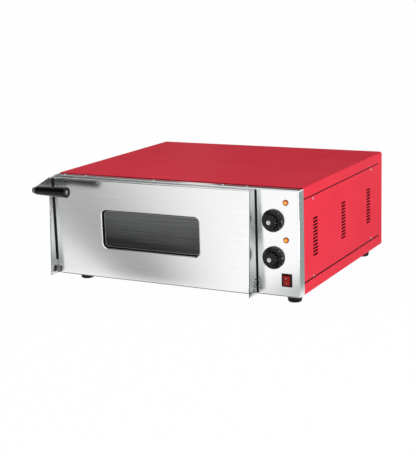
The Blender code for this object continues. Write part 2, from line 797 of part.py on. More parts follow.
def make_knob(name, z):
    place = (knob_x, front_y - knob_lift, z)
    forward = (0, -1, 0)
    bore = shaft_radius + seat_gap
    floor = knob_height - cap_thickness
    soft = knob_edge
    cap_well = cap_radius + seat_gap
    knob_line = [(0.0, floor), (cap_well, floor), (cap_well, knob_height),
                 (grip_knob_radius - soft, knob_height), (grip_knob_radius, knob_height - soft),
                 (grip_knob_radius + soft / 2, skirt_height + soft / 2),
                 (skirt_radius - 2 * soft, skirt_height), (skirt_radius, soft), (skirt_radius, 0.0),
                 (bore, 0.0), (bore, shaft_in_knob), (0.0, shaft_in_knob)]
    knob = turned(name + "_knob", knob_line, black_bakelite)
    seat_turned(knob, place, forward)
    shape = bmesh.new()
    flute_low = skirt_height + flute_above_skirt
    flute_high = knob_height + cut_reach
    shift = Matrix.Translation((grip_knob_radius + flute_offset, 0.0, (flute_low + flute_high) / 2))
    for index in range(knob_flutes):
        turn = Matrix.Rotation(2 * math.pi * (index + 0.5) / knob_flutes, 4, "Z")
        bmesh.ops.create_cone(shape, cap_ends=True, segments=8, radius1=flute_radius, radius2=flute_radius,
                              depth=flute_high - flute_low, matrix=turn @ shift)
    flutes = place_object(name + "_flutes", to_mesh(name + "_flutes", shape), None, oven, cutter=True)
    cut(knob, seat_turned(flutes, place, forward))
    cap_line = [(0.0, cap_thickness), (cap_radius - cap_edge, cap_thickness),
                (cap_radius, cap_thickness - cap_edge), (cap_radius, 0.0), (0.0, 0.0)]
    cap = turned(name + "_knob_cap", cap_line, polished_steel, steps=24)
    seat_turned(cap, (knob_x, place[1] - floor - seat_gap, z), forward)
    tip = shaft_in_knob - seat_gap
    tail = knob_lift + sheet + shaft_in_thermostat
    shaft_line = [(0.0, tip), (shaft_radius, tip), (shaft_radius, -tail), (0.0, -tail)]
    shaft = turned(name + "_thermostat_shaft", shaft_line, plain_steel, steps=16)
    seat_turned(shaft, place, forward)


def make_thermostat(name, z, bulb_z):
    front = panel_back_y + seat_gap
    rear = front + thermostat_depth
    half = thermostat_width / 2
    box = block(name + "_thermostat", (knob_x - half, front, z - half), (knob_x + half, rear, z + half),
                steatite, oven, 1, thermostat_corner)
    cut(box, cutter_rod(name + "_thermostat_bore", (knob_x, front - cut_reach, z),
                        (knob_x, front + shaft_in_thermostat, z), shaft_radius + seat_gap))
    corner = arc((knob_x - capillary_bend, bulb_y - capillary_bend), capillary_bend, 0, 90, 4)
    bulb_start = chamber_right + sheet + wool / 2
    bulb_end = chamber_right - bulb_length
    points = [(knob_x, rear + seat_gap, z), (knob_x, rear + capillary_lead, z)]
    points += [(x, y, bulb_z) for x, y in corner]
    bulb_xs = (bulb_start + bulb_neck, bulb_start, bulb_end, bulb_end - bulb_neck)
    points += [(x, bulb_y, bulb_z) for x in bulb_xs]
    thick = bulb_radius / capillary_radius
    swell = [1.0] * (len(points) - len(bulb_xs)) + [1.0, thick, thick, 1.0]
    tube(name + "_thermostat_bulb", points, capillary_radius, plain_steel, swell)


def make_lamp(name, z):
    forward = (0, -1, 0)
    lens_line = dome(lamp_radius, lamp_dome, lamp_rim, 5)
    lens_line += [(lamp_radius, 0.0), (lamp_stem_radius, 0.0), (lamp_stem_radius, -lamp_stem),
                  (0.0, -lamp_stem)]
    lens = turned(name + "_lamp_lens", lens_line, amber_lens, steps=16)
    seat_turned(lens, (lamp_x, front_y - seat_gap, z), forward)
    inner = lamp_stem_radius + seat_gap
    outer = inner + lamp_nut_wall
    nut_line = [(outer, 0.0), (outer, -lamp_nut_depth), (inner, -lamp_nut_depth), (inner, 0.0)]
    nut = turned(name + "_lamp_nut", nut_line, black_bakelite, steps=12, closed=True)
    seat_turned(nut, (lamp_x, panel_back_y + seat_gap, z), forward)


def make_switch():
    case_x, case_z = switch_case_half()
    bezel_x, bezel_z = switch_width / 2, switch_height / 2
    rest_y = front_y - seat_gap
    pivot_y = front_y + rocker_pivot
    case = block("switch_housing", (switch_x - case_x, rest_y - switch_bezel / 2, switch_z - case_z),
                 (switch_x + case_x, rest_y + switch_case_depth, switch_z + case_z), black_bakelite)
    bezel = cutter_block("switch_bezel", (switch_x - bezel_x, rest_y - switch_bezel, switch_z - bezel_z),
                         (switch_x + bezel_x, rest_y, switch_z + bezel_z))
    join = case.modifiers.new("bezel", "BOOLEAN")
    join.operation = "UNION"
    join.object = bezel
    well_x = rocker_width / 2 + seat_gap
    well_z = rocker_half + rocker_room
    cut(case, cutter_block("rocker_well", (switch_x - well_x, rest_y - cut_reach, switch_z - well_z),
                           (switch_x + well_x, pivot_y + rocker_well, switch_z + well_z)))
    side = rocker_half - rocker_shave
    outline = [(-rocker_crown, -rocker_half), (0.0, -side), (rocker_back, -rocker_half / 2),
               (rocker_back, rocker_half / 2), (0.0, side), (-rocker_crown, rocker_half), (-rocker_dip, 0.0)]
    rocker = flat_plate("switch_rocker", outline, rocker_width, 0.0, red_rocker)
    rocker.location = (switch_x, pivot_y, switch_z)
    rocker.rotation_euler = (rocker_tilt, 0.0, 0.0)


def make_wiring():
    outline = [(gland_neck_radius - gland_edge, gland_stand), (gland_neck_radius, gland_stand - gland_edge),
               (gland_neck_radius, gland_flange), (gland_flange_radius, gland_flange),
               (gland_flange_radius, 0.0), (gland_tail_radius, 0.0), (gland_tail_radius, -gland_tail),
               (gland_bore, -gland_tail), (gland_bore, gland_stand)]
    gland = turned("cord_gland", outline, black_rubber, steps=18, closed=True)
    seat_turned(gland, (gland_x, body_depth + seat_gap, gland_z), (0, 1, 0))
    x = half_width - block_from_side
    floor = sheet + seat_gap
    hole_z = floor + terminal_z
    terminals = block("terminal_block", (x - block_width / 2, block_y - block_length / 2, floor),
                      (x + block_width / 2, block_y + block_length / 2, floor + block_height), steatite)
    for index in range(block_poles):
        pole_y = block_y + (index - (block_poles - 1) / 2) * block_length / block_poles
        cut(terminals, cutter_rod(f"terminal_{index}", (x - block_width, pole_y, hole_z),
                                  (x + block_width, pole_y, hole_z), terminal_radius, oven, 12))


make_casing()
make_feet()
make_front_panel()
make_chamber()
make_elements()
make_stone()
make_door()
make_hinge_brackets()
make_handle()
for knob_name, knob_z, heat_z in zip(knob_names, knob_heights_z, element_heights()):
    make_knob(knob_name, knob_z)
    make_thermostat(knob_name, knob_z, heat_z)
    make_lamp(knob_name, knob_z + lamp_above_knob)
make_switch()
make_wiring()
bpy.context.view_layer.update()
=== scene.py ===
# Countertop pizza oven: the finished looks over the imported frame. Metres, +Z up, the door faces -Y.
import math

import bmesh
import bpy
from mathutils import Matrix, Vector


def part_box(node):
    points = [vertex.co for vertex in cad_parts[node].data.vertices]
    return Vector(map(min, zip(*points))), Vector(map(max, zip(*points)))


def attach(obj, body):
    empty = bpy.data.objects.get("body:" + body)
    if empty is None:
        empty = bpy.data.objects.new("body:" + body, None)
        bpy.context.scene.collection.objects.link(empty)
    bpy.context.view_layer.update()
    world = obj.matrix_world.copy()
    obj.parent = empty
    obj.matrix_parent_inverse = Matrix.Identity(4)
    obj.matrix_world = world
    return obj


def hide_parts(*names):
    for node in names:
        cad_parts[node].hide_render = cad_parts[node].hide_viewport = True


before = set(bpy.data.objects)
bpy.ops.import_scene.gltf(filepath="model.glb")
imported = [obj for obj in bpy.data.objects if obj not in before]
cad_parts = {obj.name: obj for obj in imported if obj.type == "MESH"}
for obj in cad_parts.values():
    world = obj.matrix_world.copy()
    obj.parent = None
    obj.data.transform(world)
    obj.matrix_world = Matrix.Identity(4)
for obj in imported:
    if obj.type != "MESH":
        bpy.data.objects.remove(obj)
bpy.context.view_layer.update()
scene = bpy.context.scene
for stray in [o for o in scene.objects if o.type in ("CAMERA", "LIGHT")]:
    bpy.data.objects.remove(stray, do_unlink=True)
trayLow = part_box("base_tray")[0]
corner = Vector((0.0, trayLow[1], trayLow[2]))  # new pieces are drawn from the casing's own corner lines
nowhere = Vector((0.0, 0.0, 0.0))
toFront, toRear, upward = Vector((0, -1, 0)), Vector((0, 1, 0)), Vector((0, 0, 1))
sides = (("left", -1), ("right", 1))
mergeWithin = 0.000005  # points this near are one
flatWithin = 0.00001  # and these lie in one plane
print("frame loaded:", len(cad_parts), "nodes")


def linear(hexColour):  # sRGB hex to linear RGBA
    channels = [int(hexColour[i:i + 2], 16) / 255 for i in (1, 3, 5)]
    return [c / 12.92 if c <= 0.04045 else ((c + 0.055) / 1.055) ** 2.4 for c in channels] + [1.0]


def setSockets(tree, node, sockets):  # a value is set; a socket is linked, and a node by its first output
    for key, value in sockets.items():
        if isinstance(value, bpy.types.Node):
            value = value.outputs[0]
        if isinstance(value, bpy.types.NodeSocket):
            tree.links.new(value, node.inputs[key])
        else:
            node.inputs[key].default_value = value


def addNode(tree, kind, sockets, stops=(), **settings):  # stops: (position, hex) of a colour ramp
    node = tree.nodes.new("ShaderNode" + kind)
    for key, value in settings.items():
        setattr(node, key, value)
    setSockets(tree, node, sockets)
    for index, (position, hexColour) in enumerate(stops):
        if index > 1:
            node.color_ramp.elements.new(position)
        node.color_ramp.elements[index].position = position
        node.color_ramp.elements[index].color = linear(hexColour)
    return node


def newFinish(name, sockets):
    made = bpy.data.materials.new(name)
    made.use_nodes = True
    tree = made.node_tree
    shader = tree.nodes["Principled BSDF"]
    setSockets(tree, shader, sockets)
    return made, tree, shader, addNode(tree, "TexCoord", {}).outputs["Object"]


noiseSpan = {"From Min": 0.3, "From Max": 0.7}  # where most of a noise's values lie

stainlessLook = {"streakWidth": 0.0016, "streakLength": 0.12, "buckle": 0.17, "buckleDepth": 0.0004,
                 "front": {"tint": ("#F3F5F5", "#FCFCFB"), "roughness": (0.15, 0.20)},
                 "plate": {"tint": ("#D4D8D8", "#DEE1E1"), "roughness": (0.10, 0.14)}}


def polishedStainless(name, streak, look):
    # Bright stainless sheet off a fine belt: a soft mirror, blurred a little along faint straight lines.
    # The real lines are 0.1 mm apart; here they are 1.6 mm wide, so that they show.
    made, tree, shader, point = newFinish(name, {"Metallic": 1.0})
    belt = addNode(tree, "Mapping", {"Vector": point, "Scale": [1 / size for size in streak]})
    lines = addNode(tree, "TexNoise", {"Vector": belt, "Scale": 1.0, "Detail": 5.0, "Roughness": 0.6})
    low, high = look["tint"]
    tint = addNode(tree, "ValToRGB", {"Fac": lines}, [(0.3, low), (0.7, high)])
    smooth, dull = look["roughness"]
    rough = addNode(tree, "MapRange", {"Value": lines, **noiseSpan, "To Min": smooth, "To Max": dull})
    # thin sheet is never quite flat: slow waves of 170 mm
    waves = addNode(tree, "TexNoise", {"Vector": point, "Scale": 1 / stainlessLook["buckle"], "Detail": 0.0})
    wavy = addNode(tree, "Bump", {"Height": waves, "Distance": stainlessLook["buckleDepth"], "Strength": 0.5})
    setSockets(tree, shader, {"Base Color": tint, "Roughness": rough, "Normal": wavy})
    return made


redLook = {"tint": ("#DA2E40", "#E03748"), "peel": 0.0016, "peelDepth": 0.00005, "cloud": 0.15}


def redPowderCoat():
    # Polyester powder coat on folded steel: an even satin red with a fine orange peel, which is drawn
    # 1.6 mm wide to show.
    made, tree, shader, point = newFinish("redPowderCoat", {"Specular IOR Level": 0.035})
    clouds = addNode(tree, "TexNoise", {"Vector": point, "Scale": 1 / redLook["cloud"], "Detail": 3.0})
    low, high = redLook["tint"]
    tint = addNode(tree, "ValToRGB", {"Fac": clouds}, [(0.3, low), (0.7, high)])
    rough = addNode(tree, "MapRange", {"Value": clouds, **noiseSpan, "To Min": 0.40, "To Max": 0.50})
    peel = addNode(tree, "TexNoise", {"Vector": point, "Scale": 1 / redLook["peel"], "Detail": 1.0})
    skin = addNode(tree, "Bump", {"Height": peel, "Distance": redLook["peelDepth"], "Strength": 0.5})
    setSockets(tree, shader, {"Base Color": tint, "Roughness": rough, "Normal": skin})
    return made


rolledLook = {"line": (0.0015, 0.08, 0.0015), "cloud": 0.06}


def rolledSteel(name, dark, light):
    # Cold rolled steel sheet: satin grey with rolling lines, drawn 1.5 mm wide, and clouds of heat or oil.
    made, tree, shader, point = newFinish(name, {"Metallic": 1.0})
    rolled = addNode(tree, "Mapping", {"Vector": point, "Scale": [1 / size for size in rolledLook["line"]]})
    lines = addNode(tree, "TexNoise", {"Vector": rolled, "Scale": 1.0, "Detail": 4.0})
    clouds = addNode(tree, "TexNoise", {"Vector": point, "Scale": 1 / rolledLook["cloud"], "Detail": 4.0})
    tint = addNode(tree, "ValToRGB", {"Fac": clouds}, [(0.3, dark), (0.7, light)])
    rough = addNode(tree, "MapRange", {"Value": lines, **noiseSpan, "To Min": 0.28, "To Max": 0.46})
    setSockets(tree, shader, {"Base Color": tint, "Roughness": rough})
    return made


phenolicLook = {"speck": 0.0006, "flow": 0.006}


def blackPhenolic():
    # Moulded black phenolic: glossy, with faint flow lines of 6 mm and grey filler specks of 0.6 mm.
    made, tree, shader, point = newFinish("blackPhenolic", {"IOR": 1.58, "Specular IOR Level": 0.24})
    specks = addNode(tree, "TexNoise", {"Vector": point, "Scale": 1 / phenolicLook["speck"], "Detail": 2.0})
    tint = addNode(tree, "ValToRGB", {"Fac": specks}, [(0.35, "#030304"), (0.8, "#0B0B0C")])
    flow = addNode(tree, "TexNoise", {"Vector": point, "Scale": 1 / phenolicLook["flow"], "Detail": 3.0})
    rough = addNode(tree, "MapRange", {"Value": flow, **noiseSpan, "To Min": 0.12, "To Max": 0.22})
    skin = addNode(tree, "Bump", {"Height": flow, "Distance": 0.00005, "Strength": 0.4})
    setSockets(tree, shader, {"Base Color": tint, "Roughness": rough, "Normal": skin})
    return made


glassLook = {"streak": (0.16, 0.004, 0.004), "tintToSheen": ("#0E0F0F", "#747676"), "top": 0.2043, "bottom": 0.1073}


def smokedGlass():
    # Grey toughened glass: dark and mirror smooth, painted lighter towards the top edge as a painted
    # reflection, in level streaks 4 mm wide.
    made, tree, shader, point = newFinish("smokedGlass", {"IOR": 1.52, "Transmission Weight": 0.35})
    streakMapping = addNode(tree, "Mapping", {"Vector": point, "Scale": [1 / size for size in glassLook["streak"]]})
    streaks = addNode(tree, "TexNoise", {"Vector": streakMapping, "Scale": 1.0, "Detail": 4.0})
    faint = addNode(tree, "MapRange", {"Value": streaks, "To Min": 0.22, "To Max": 0.78})
    # painted reflection: the tint rises towards the top edge of the glass
    height = addNode(tree, "SeparateXYZ", {"Vector": point})
    rise = addNode(tree, "MapRange", {"Value": height.outputs["Z"], "From Min": glassLook["bottom"],
                                      "From Max": glassLook["top"], "To Min": -0.35, "To Max": 0.40})
    streaksAndSheen = addNode(tree, "Math", {0: faint, 1: rise}, operation="ADD")
    low, high = glassLook["tintToSheen"]
    tint = addNode(tree, "ValToRGB", {"Fac": streaksAndSheen}, [(0.2, low), (0.9, high)])
    rough = addNode(tree, "MapRange", {"Value": streaksAndSheen, "From Min": 0.2, "From Max": 0.9,
                                       "To Min": 0.03, "To Max": 0.12})
    setSockets(tree, shader, {"Base Color": tint, "Roughness": rough})
    return made


def amberLens(name, centre, radius):
    # Amber acrylic over a small lamp: bright in the middle where the lamp glows; the brown-red rim is painted
    # shade.
    made, tree, shader, point = newFinish(name, {"IOR": 1.49, "Roughness": 0.06, "Emission Strength": 0.12})
    middle = addNode(tree, "Mapping", {"Vector": point, "Location": [-c / radius for c in centre],
                                       "Scale": [1 / radius] * 3})
    rings = addNode(tree, "TexGradient", {"Vector": middle}, gradient_type="SPHERICAL")
    # painted shade: the colour darkens from the lamp's bright middle to a dark brown-red rim
    tint = addNode(tree, "ValToRGB", {"Fac": rings.outputs["Fac"]},
                   [(0.16, "#1E0300"), (0.3, "#6A1800"), (0.46, "#DC6A04"), (0.64, "#FFD04A")])
    setSockets(tree, shader, {"Base Color": tint, "Emission Color": tint})
    return made


toolMark = 0.0006


def turnedAluminium(name, centre):
    # Aluminium cap faced on a lathe: silver, with rings round its middle. The tool marks are drawn 0.6 mm
    # apart, so that they show.
    made, tree, shader, point = newFinish(name, {"Metallic": 1.0})
    middle = addNode(tree, "Mapping", {"Vector": point, "Location": [-c for c in centre]})
    pitch = math.pi / 10 / toolMark  # the wave's scale for one ring in each tool mark
    rings = addNode(tree, "TexWave", {"Vector": middle, "Scale": pitch, "Distortion": 0.3},
                    wave_type="RINGS", rings_direction="SPHERICAL")
    tint = addNode(tree, "ValToRGB", {"Fac": rings.outputs["Fac"]}, [(0.0, "#B4B7B7"), (1.0, "#D8DADA")])
    rough = addNode(tree, "MapRange", {"Value": rings.outputs["Fac"], "To Min": 0.16, "To Max": 0.28})
    setSockets(tree, shader, {"Base Color": tint, "Roughness": rough})
    return made


woolFibre = (0.004, 0.001, 0.001)


def mineralWool():
    # Mineral wool batt: dull grey-brown, painted near black as painted shade so the vent slots read dark; a
    # soft tangle of fibres about 4 mm long.
    made, tree, shader, point = newFinish("mineralWool", {"Roughness": 0.95})
    combed = addNode(tree, "Mapping", {"Vector": point, "Scale": [1 / size for size in woolFibre]})
    fibres = addNode(tree, "TexNoise", {"Vector": combed, "Scale": 1.0, "Detail": 6.0, "Roughness": 0.7})
    tint = addNode(tree, "ValToRGB", {"Fac": fibres}, [(0.25, "#14120F"), (0.75, "#2A2620")])
    pile = addNode(tree, "Bump", {"Height": fibres, "Distance": 0.0012, "Strength": 0.8})
    setSockets(tree, shader, {"Base Color": tint, "Normal": pile})
    return made


stoneLook = {"grog": 0.0025, "cloud": 0.11, "speckShare": 0.6}


def firedCordierite():
    # Fired cordierite: dry buff stone with grog specks of 2.5 mm and scorched clouds of 110 mm.
    made, tree, shader, point = newFinish("firedCordierite", {"Roughness": 0.92})
    grog = addNode(tree, "TexVoronoi", {"Vector": point, "Scale": 1 / stoneLook["grog"]})
    specks = addNode(tree, "ValToRGB", {"Fac": grog}, [(0.05, "#6B5642"), (0.35, "#FFFFFF")])
    clouds = addNode(tree, "TexNoise", {"Vector": point, "Scale": 1 / stoneLook["cloud"], "Detail": 4.0})
    scorch = addNode(tree, "ValToRGB", {"Fac": clouds},
                     [(0.3, "#BFA57E"), (0.55, "#CDB693"), (0.75, "#A58A66")])
    tint = addNode(tree, "Mix", {0: stoneLook["speckShare"], 6: scorch, 7: specks},
                   data_type="RGBA", blend_type="MULTIPLY")
    pores = addNode(tree, "Bump", {"Height": grog, "Distance": 0.0003, "Strength": 0.5})
    setSockets(tree, shader, {"Base Color": tint.outputs[2], "Normal": pores})
    return made


rubberSkin = {"sockets": {"IOR": 1.52, "Specular IOR Level": 0.2}, "grain": 0.0008, "detail": 3.0,
              "rough": (0.55, 0.75), "relief": (0.0001, 0.5)}
grainedLooks = {
    # bright zinc on the screws: bluish silver with a crystal mottle
    "brightZinc": {"sockets": {"Metallic": 1.0, "Roughness": 0.24}, "grain": 0.0006, "detail": 2.0,
                   "tint": [(0.3, "#C2D4D3"), (0.7, "#E0EBEA")]},
    # moulded rubber: matt black, with a pebbled grain that holds a little dust
    "mouldedRubber": {**rubberSkin, "tint": [(0.3, "#070707"), (0.75, "#121212")]},
    # dark red strips in the grooves, standing in for the grooves' shade: painted shade, matt with a rubber
    # grain
    "paintedGrooveShade": {**rubberSkin, "tint": [(0.3, "#3C0002"), (0.75, "#520205")]},
    # nylon of the rocker: glossy red, with a moulding grain
    "redNylon": {"sockets": {"IOR": 1.53, "Roughness": 0.2, "Specular IOR Level": 0.25}, "grain": 0.0007,
                 "detail": 2.0, "tint": [(0.3, "#860306"), (0.75, "#A20709")], "relief": (0.00003, 0.3)},
    # hot-stamped foil of the numbers: thin, once white, and rubbed grey in patches
    "whiteFoil": {"sockets": {"Roughness": 0.5}, "grain": 0.0015, "detail": 3.0,
                  "tint": [(0.2, "#7C7C7A"), (0.5, "#C4C4C0")]},
    # nickel alloy heater sheath: dark, oxidised grey to brown in bands
    "heaterSheath": {"sockets": {"Metallic": 1.0}, "grain": 0.03, "detail": 4.0, "rough": (0.38, 0.6),
                     "tint": [(0.3, "#3F3C38"), (0.55, "#57514A"), (0.75, "#6A5A49")]},
    # pressed steatite: satin off-white ceramic
    "pressedSteatite": {"sockets": {"IOR": 1.6, "Roughness": 0.5}, "grain": 0.001, "detail": 3.0,
                        "tint": [(0.3, "#DAD3C3"), (0.7, "#EAE4D6")], "relief": (0.00006, 0.4)}}


def grainedFinish(name, look):
    # one grain gives the tint and, where the look has them, the gloss and the relief
    made, tree, shader, point = newFinish(name, look["sockets"])
    grain = addNode(tree, "TexNoise", {"Vector": point, "Scale": 1 / look["grain"], "Detail": look["detail"]})
    sockets = {"Base Color": addNode(tree, "ValToRGB", {"Fac": grain}, look["tint"])}
    if "rough" in look:
        smooth, dull = look["rough"]
        sockets["Roughness"] = addNode(tree, "MapRange", {"Value": grain, **noiseSpan,
                                                          "To Min": smooth, "To Max": dull})
    if "relief" in look:
        depth, strength = look["relief"]
        sockets["Normal"] = addNode(tree, "Bump", {"Height": grain, "Distance": depth, "Strength": strength})
    setSockets(tree, shader, sockets)
    return made


width, length = stainlessLook["streakWidth"], stainlessLook["streakLength"]
brightFront = polishedStainless("polishedStainless", (length, width, width), stainlessLook["front"])
brightPlate = polishedStainless("polishedStainlessPlate", (width, width, length), stainlessLook["plate"])
red = redPowderCoat()
greySteel = rolledSteel("rolledSteel", "#8F8D89", "#B0AEA9")
hotSteel = rolledSteel("heatTintedSteel", "#6F675C", "#9A9285")
# the sheared rims are painted near black: partly the dull finish a blade leaves, partly painted shade
cutEdgeShade = rolledSteel("shearedEdgePaintedDark", "#22211F", "#3C3A37")  # dark and torn where a blade went through
black = blackPhenolic()
tinted = smokedGlass()
shadeDarkWool = mineralWool()
stone = firedCordierite()
grained = [grainedFinish(name, look) for name, look in grainedLooks.items()]
zinc, rubber, grooveShadeRed, rockerRed, white, sheath, ceramic = grained
print("finishes made:", len(bpy.data.materials))


def meshObject(name, bm, *finishes):
    mesh = bpy.data.meshes.new(name)
    bm.to_mesh(mesh)
    bm.free()
    for finish in finishes:
        mesh.materials.append(finish)
    made = bpy.data.objects.new(name, mesh)
    scene.collection.objects.link(made)
    return made


def makePiece(name, bm, finish, body, stands=(), sharp=32, place=corner):
    bmesh.ops.translate(bm, vec=place, verts=bm.verts)
    piece = meshObject(name, bm, finish)
    piece.data.shade_smooth()
    piece.data.set_sharp_from_angle(angle=math.radians(sharp))
    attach(piece, body)
    if stands:
        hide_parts(*stands)
    return piece


def addModifier(piece, kind, **settings):
    modifier = piece.modifiers.new(kind.lower(), kind)
    for key, value in settings.items():
        setattr(modifier, key, value)


def addWall(piece, gauge):  # both ways from the middle surface
    addModifier(piece, "SOLIDIFY", thickness=gauge, offset=0.0, use_even_offset=True)


def trueFlats(piece):  # shading of a flat stays flat up to its soft edge
    addModifier(piece, "WEIGHTED_NORMAL", keep_sharp=True, weight=100)


def deburr(piece, edge, above=50):
    addModifier(piece, "BEVEL", width=edge, segments=2, limit_method="ANGLE", angle_limit=math.radians(above))
    trueFlats(piece)


def makeSheet(name, bm, finish, body, node, gauge, edge):  # a folded sheet with its wall
    piece = makePiece(name, bm, finish, body, [node])
    if gauge:
        addWall(piece, gauge)
    deburr(piece, edge)


def boxShape(low, high):
    bm = bmesh.new()
    low, high = Vector(low), Vector(high)
    bmesh.ops.create_cube(bm, size=1.0)
    bmesh.ops.scale(bm, vec=high - low, verts=bm.verts)
    bmesh.ops.translate(bm, vec=(low + high) / 2, verts=bm.verts)
    return bm


def roundOff(bm, geom, radius, steps, affect):
    bmesh.ops.bevel(bm, geom=geom, offset=radius, segments=steps, profile=0.5, affect=affect, material=-1)


def softEdges(bm, radius, steps=3, above=30):
    edges = [e for e in bm.edges if e.calc_face_angle(0) > math.radians(above)]
    roundOff(bm, edges, radius, steps, "EDGES")
    return bm


def shiftDrawn(bm, drawn, step):  # moves what an extrusion has just made
    bmesh.ops.translate(bm, vec=step, verts=[g for g in drawn["geom"] if isinstance(g, bmesh.types.BMVert)])


def pullBack(bm, edges, reach):
    shiftDrawn(bm, bmesh.ops.extrude_edge_only(bm, edges=edges), (0, reach, 0))


def thicken(bm, step):  # a flat shape drawn out into a solid
    shiftDrawn(bm, bmesh.ops.extrude_face_region(bm, geom=bm.faces[:]), step)
    bmesh.ops.recalc_face_normals(bm, faces=bm.faces)


def foldedSheet(outline, start, end, radius, steps=6):  # an x, z outline with rounded bends, drawn along y
    bm = bmesh.new()
    row = [bm.verts.new((x, start, z)) for x, z in outline]
    for pair in zip(row, row[1:]):
        bm.edges.new(pair)
    roundOff(bm, row[1:-1], radius, steps, "VERTICES")
    pullBack(bm, bm.edges[:], end - start)
    bmesh.ops.recalc_face_normals(bm, faces=bm.faces)
    return bm


def openTray(low, high, mouth, radius, steps=6):  # a folded box; mouth is the way its open side faces
    bm = boxShape(low, high)
    bmesh.ops.delete(bm, geom=[f for f in bm.faces if f.normal.dot(mouth) > 0.9], context="FACES_ONLY")
    roundOff(bm, [e for e in bm.edges if not e.is_boundary], radius, steps, "EDGES")
    return bm


def turned(profile, place, facing, steps):  # rows of radius, height and corner radius, swept about the axis
    bm = bmesh.new()
    row = [bm.verts.new((radius, 0, height)) for radius, height, soft in profile]
    for pair in zip(row, row[1:]):
        bm.edges.new(pair)
    for vert, (radius, height, soft) in zip(row, profile):
        if soft:
            roundOff(bm, [vert], soft, 5, "VERTICES")
    bmesh.ops.spin(bm, geom=bm.verts[:] + bm.edges[:], cent=nowhere, axis=upward, angle=2 * math.pi,
                   steps=steps, use_merge=True)
    bmesh.ops.remove_doubles(bm, verts=bm.verts, dist=mergeWithin)
    bmesh.ops.recalc_face_normals(bm, faces=bm.faces)
    return seated(bm, place, facing)


def seated(bm, place, facing):
    turn = Vector(facing).to_track_quat("Z", "Y").to_matrix().to_4x4()
    bmesh.ops.transform(bm, matrix=Matrix.Translation(place) @ turn, verts=bm.verts)
    return bm


def roundedLoop(bm, halfWide, halfHigh, radius, steps):  # a loop of edges on the XY plane
    corners = [bm.verts.new((x, y, 0)) for x, y in ((-halfWide, -halfHigh), (halfWide, -halfHigh),
                                                    (halfWide, halfHigh), (-halfWide, halfHigh))]
    edges = [bm.edges.new((corners[i - 1], corners[i])) for i in range(4)]
    if not radius:
        return corners, edges
    before = set(bm.verts) - set(corners)
    roundOff(bm, corners, radius, steps, "VERTICES")
    verts = [v for v in bm.verts if v not in before]
    return verts, list({e for v in verts for e in v.link_edges})


def pierce(bm, normal, level):  # fills a flat side again round the loops that were drawn on it
    axis = max(range(3), key=lambda i: abs(normal[i]))

    def onLevel(spot):
        return abs(spot[axis] - level) < flatWithin

    flat = [f for f in bm.faces if f.normal.dot(normal) > 0.999 and onLevel(f.calc_center_median())]
    bmesh.ops.delete(bm, geom=flat, context="FACES_ONLY")
    rim = [e for e in bm.edges if (e.is_boundary or e.is_wire) and all(onLevel(v.co) for v in e.verts)]
    filled = bmesh.ops.triangle_fill(bm, use_beauty=True, use_dissolve=False, edges=rim, normal=normal)
    # few wide faces, so that no sliver folds over when the edges are softened
    seams = [g for g in filled["geom"]
             if isinstance(g, bmesh.types.BMEdge) and len(g.link_faces) == 2 and g not in rim]
    bmesh.ops.dissolve_limit(bm, angle_limit=math.radians(0.1), verts=[], edges=seams)


def takeShape(holder):  # a text's shape, or an object's with its modifiers; the object goes
    bpy.context.view_layer.update()
    mesh = bpy.data.meshes.new_from_object(holder.evaluated_get(bpy.context.evaluated_depsgraph_get()))
    bm = bmesh.new()
    bm.from_mesh(mesh)
    bpy.data.meshes.remove(mesh)
    drawn = bpy.data.curves if holder.type == "FONT" else bpy.data.meshes
    drawn.remove(holder.data)  # takes the object with it
    bmesh.ops.remove_doubles(bm, verts=bm.verts, dist=mergeWithin)
    return bm


def cutAway(bm, tools, gauge=0.0):  # thickens a sheet if asked and takes the tools out of it
    target = meshObject("target", bm)
    if gauge:
        addWall(target, gauge)
    spare = [meshObject("tool", tool) for tool in tools]
    for tool in spare:
        addModifier(target, "BOOLEAN", operation="DIFFERENCE", solver="EXACT", object=tool)
    bm = takeShape(target)
    for tool in spare:
        bpy.data.meshes.remove(tool.data)
    return bm


def nodeShape(node):  # a CAD node's mesh, merged and with its flats in one face each
    bm = bmesh.new()
    bm.from_mesh(bpy.data.objects[node].data)
    bmesh.ops.remove_doubles(bm, verts=bm.verts, dist=mergeWithin)
    bmesh.ops.dissolve_limit(bm, angle_limit=math.radians(0.5), verts=bm.verts, edges=bm.edges)
    return bm


def joined(shapes):
    bm = bmesh.new()
    for shape in shapes:
        mesh = bpy.data.meshes.new("shape")
        shape.to_mesh(mesh)
        shape.free()
        bm.from_mesh(mesh)
        bpy.data.meshes.remove(mesh)
    return bm


frontView = Matrix.Rotation(math.pi / 2, 4, "X")  # a drawing's x, y become x, z
sideView = Matrix(((0, 0, 1, 0), (1, 0, 0, 0), (0, 1, 0, 0), (0, 0, 0, 1)))  # and here y, z

casing = {"halfWidth": 0.3375, "depth": 0.543, "height": 0.255, "gauge": 0.0012, "bend": 0.0025,
          "gap": 0.0003, "coverFlange": 0.0258, "baseFlange": 0.0274, "rearWrap": 0.030, "edge": 0.0003,
          "fineEdge": 0.0002}
halfWidth, gauge, gap, bend = casing["halfWidth"], casing["gauge"], casing["gap"], casing["bend"]
hair = 0.0001  # between pieces that only look as if they touch
skinX = halfWidth - gauge / 2
floorZ, crownZ = gauge / 2, casing["height"] - gauge / 2
trayHigh, coverLow = casing["baseFlange"], casing["height"] - casing["coverFlange"]
sideEnd = casing["depth"] - casing["rearWrap"] - gap
rearY = casing["depth"] - gauge / 2

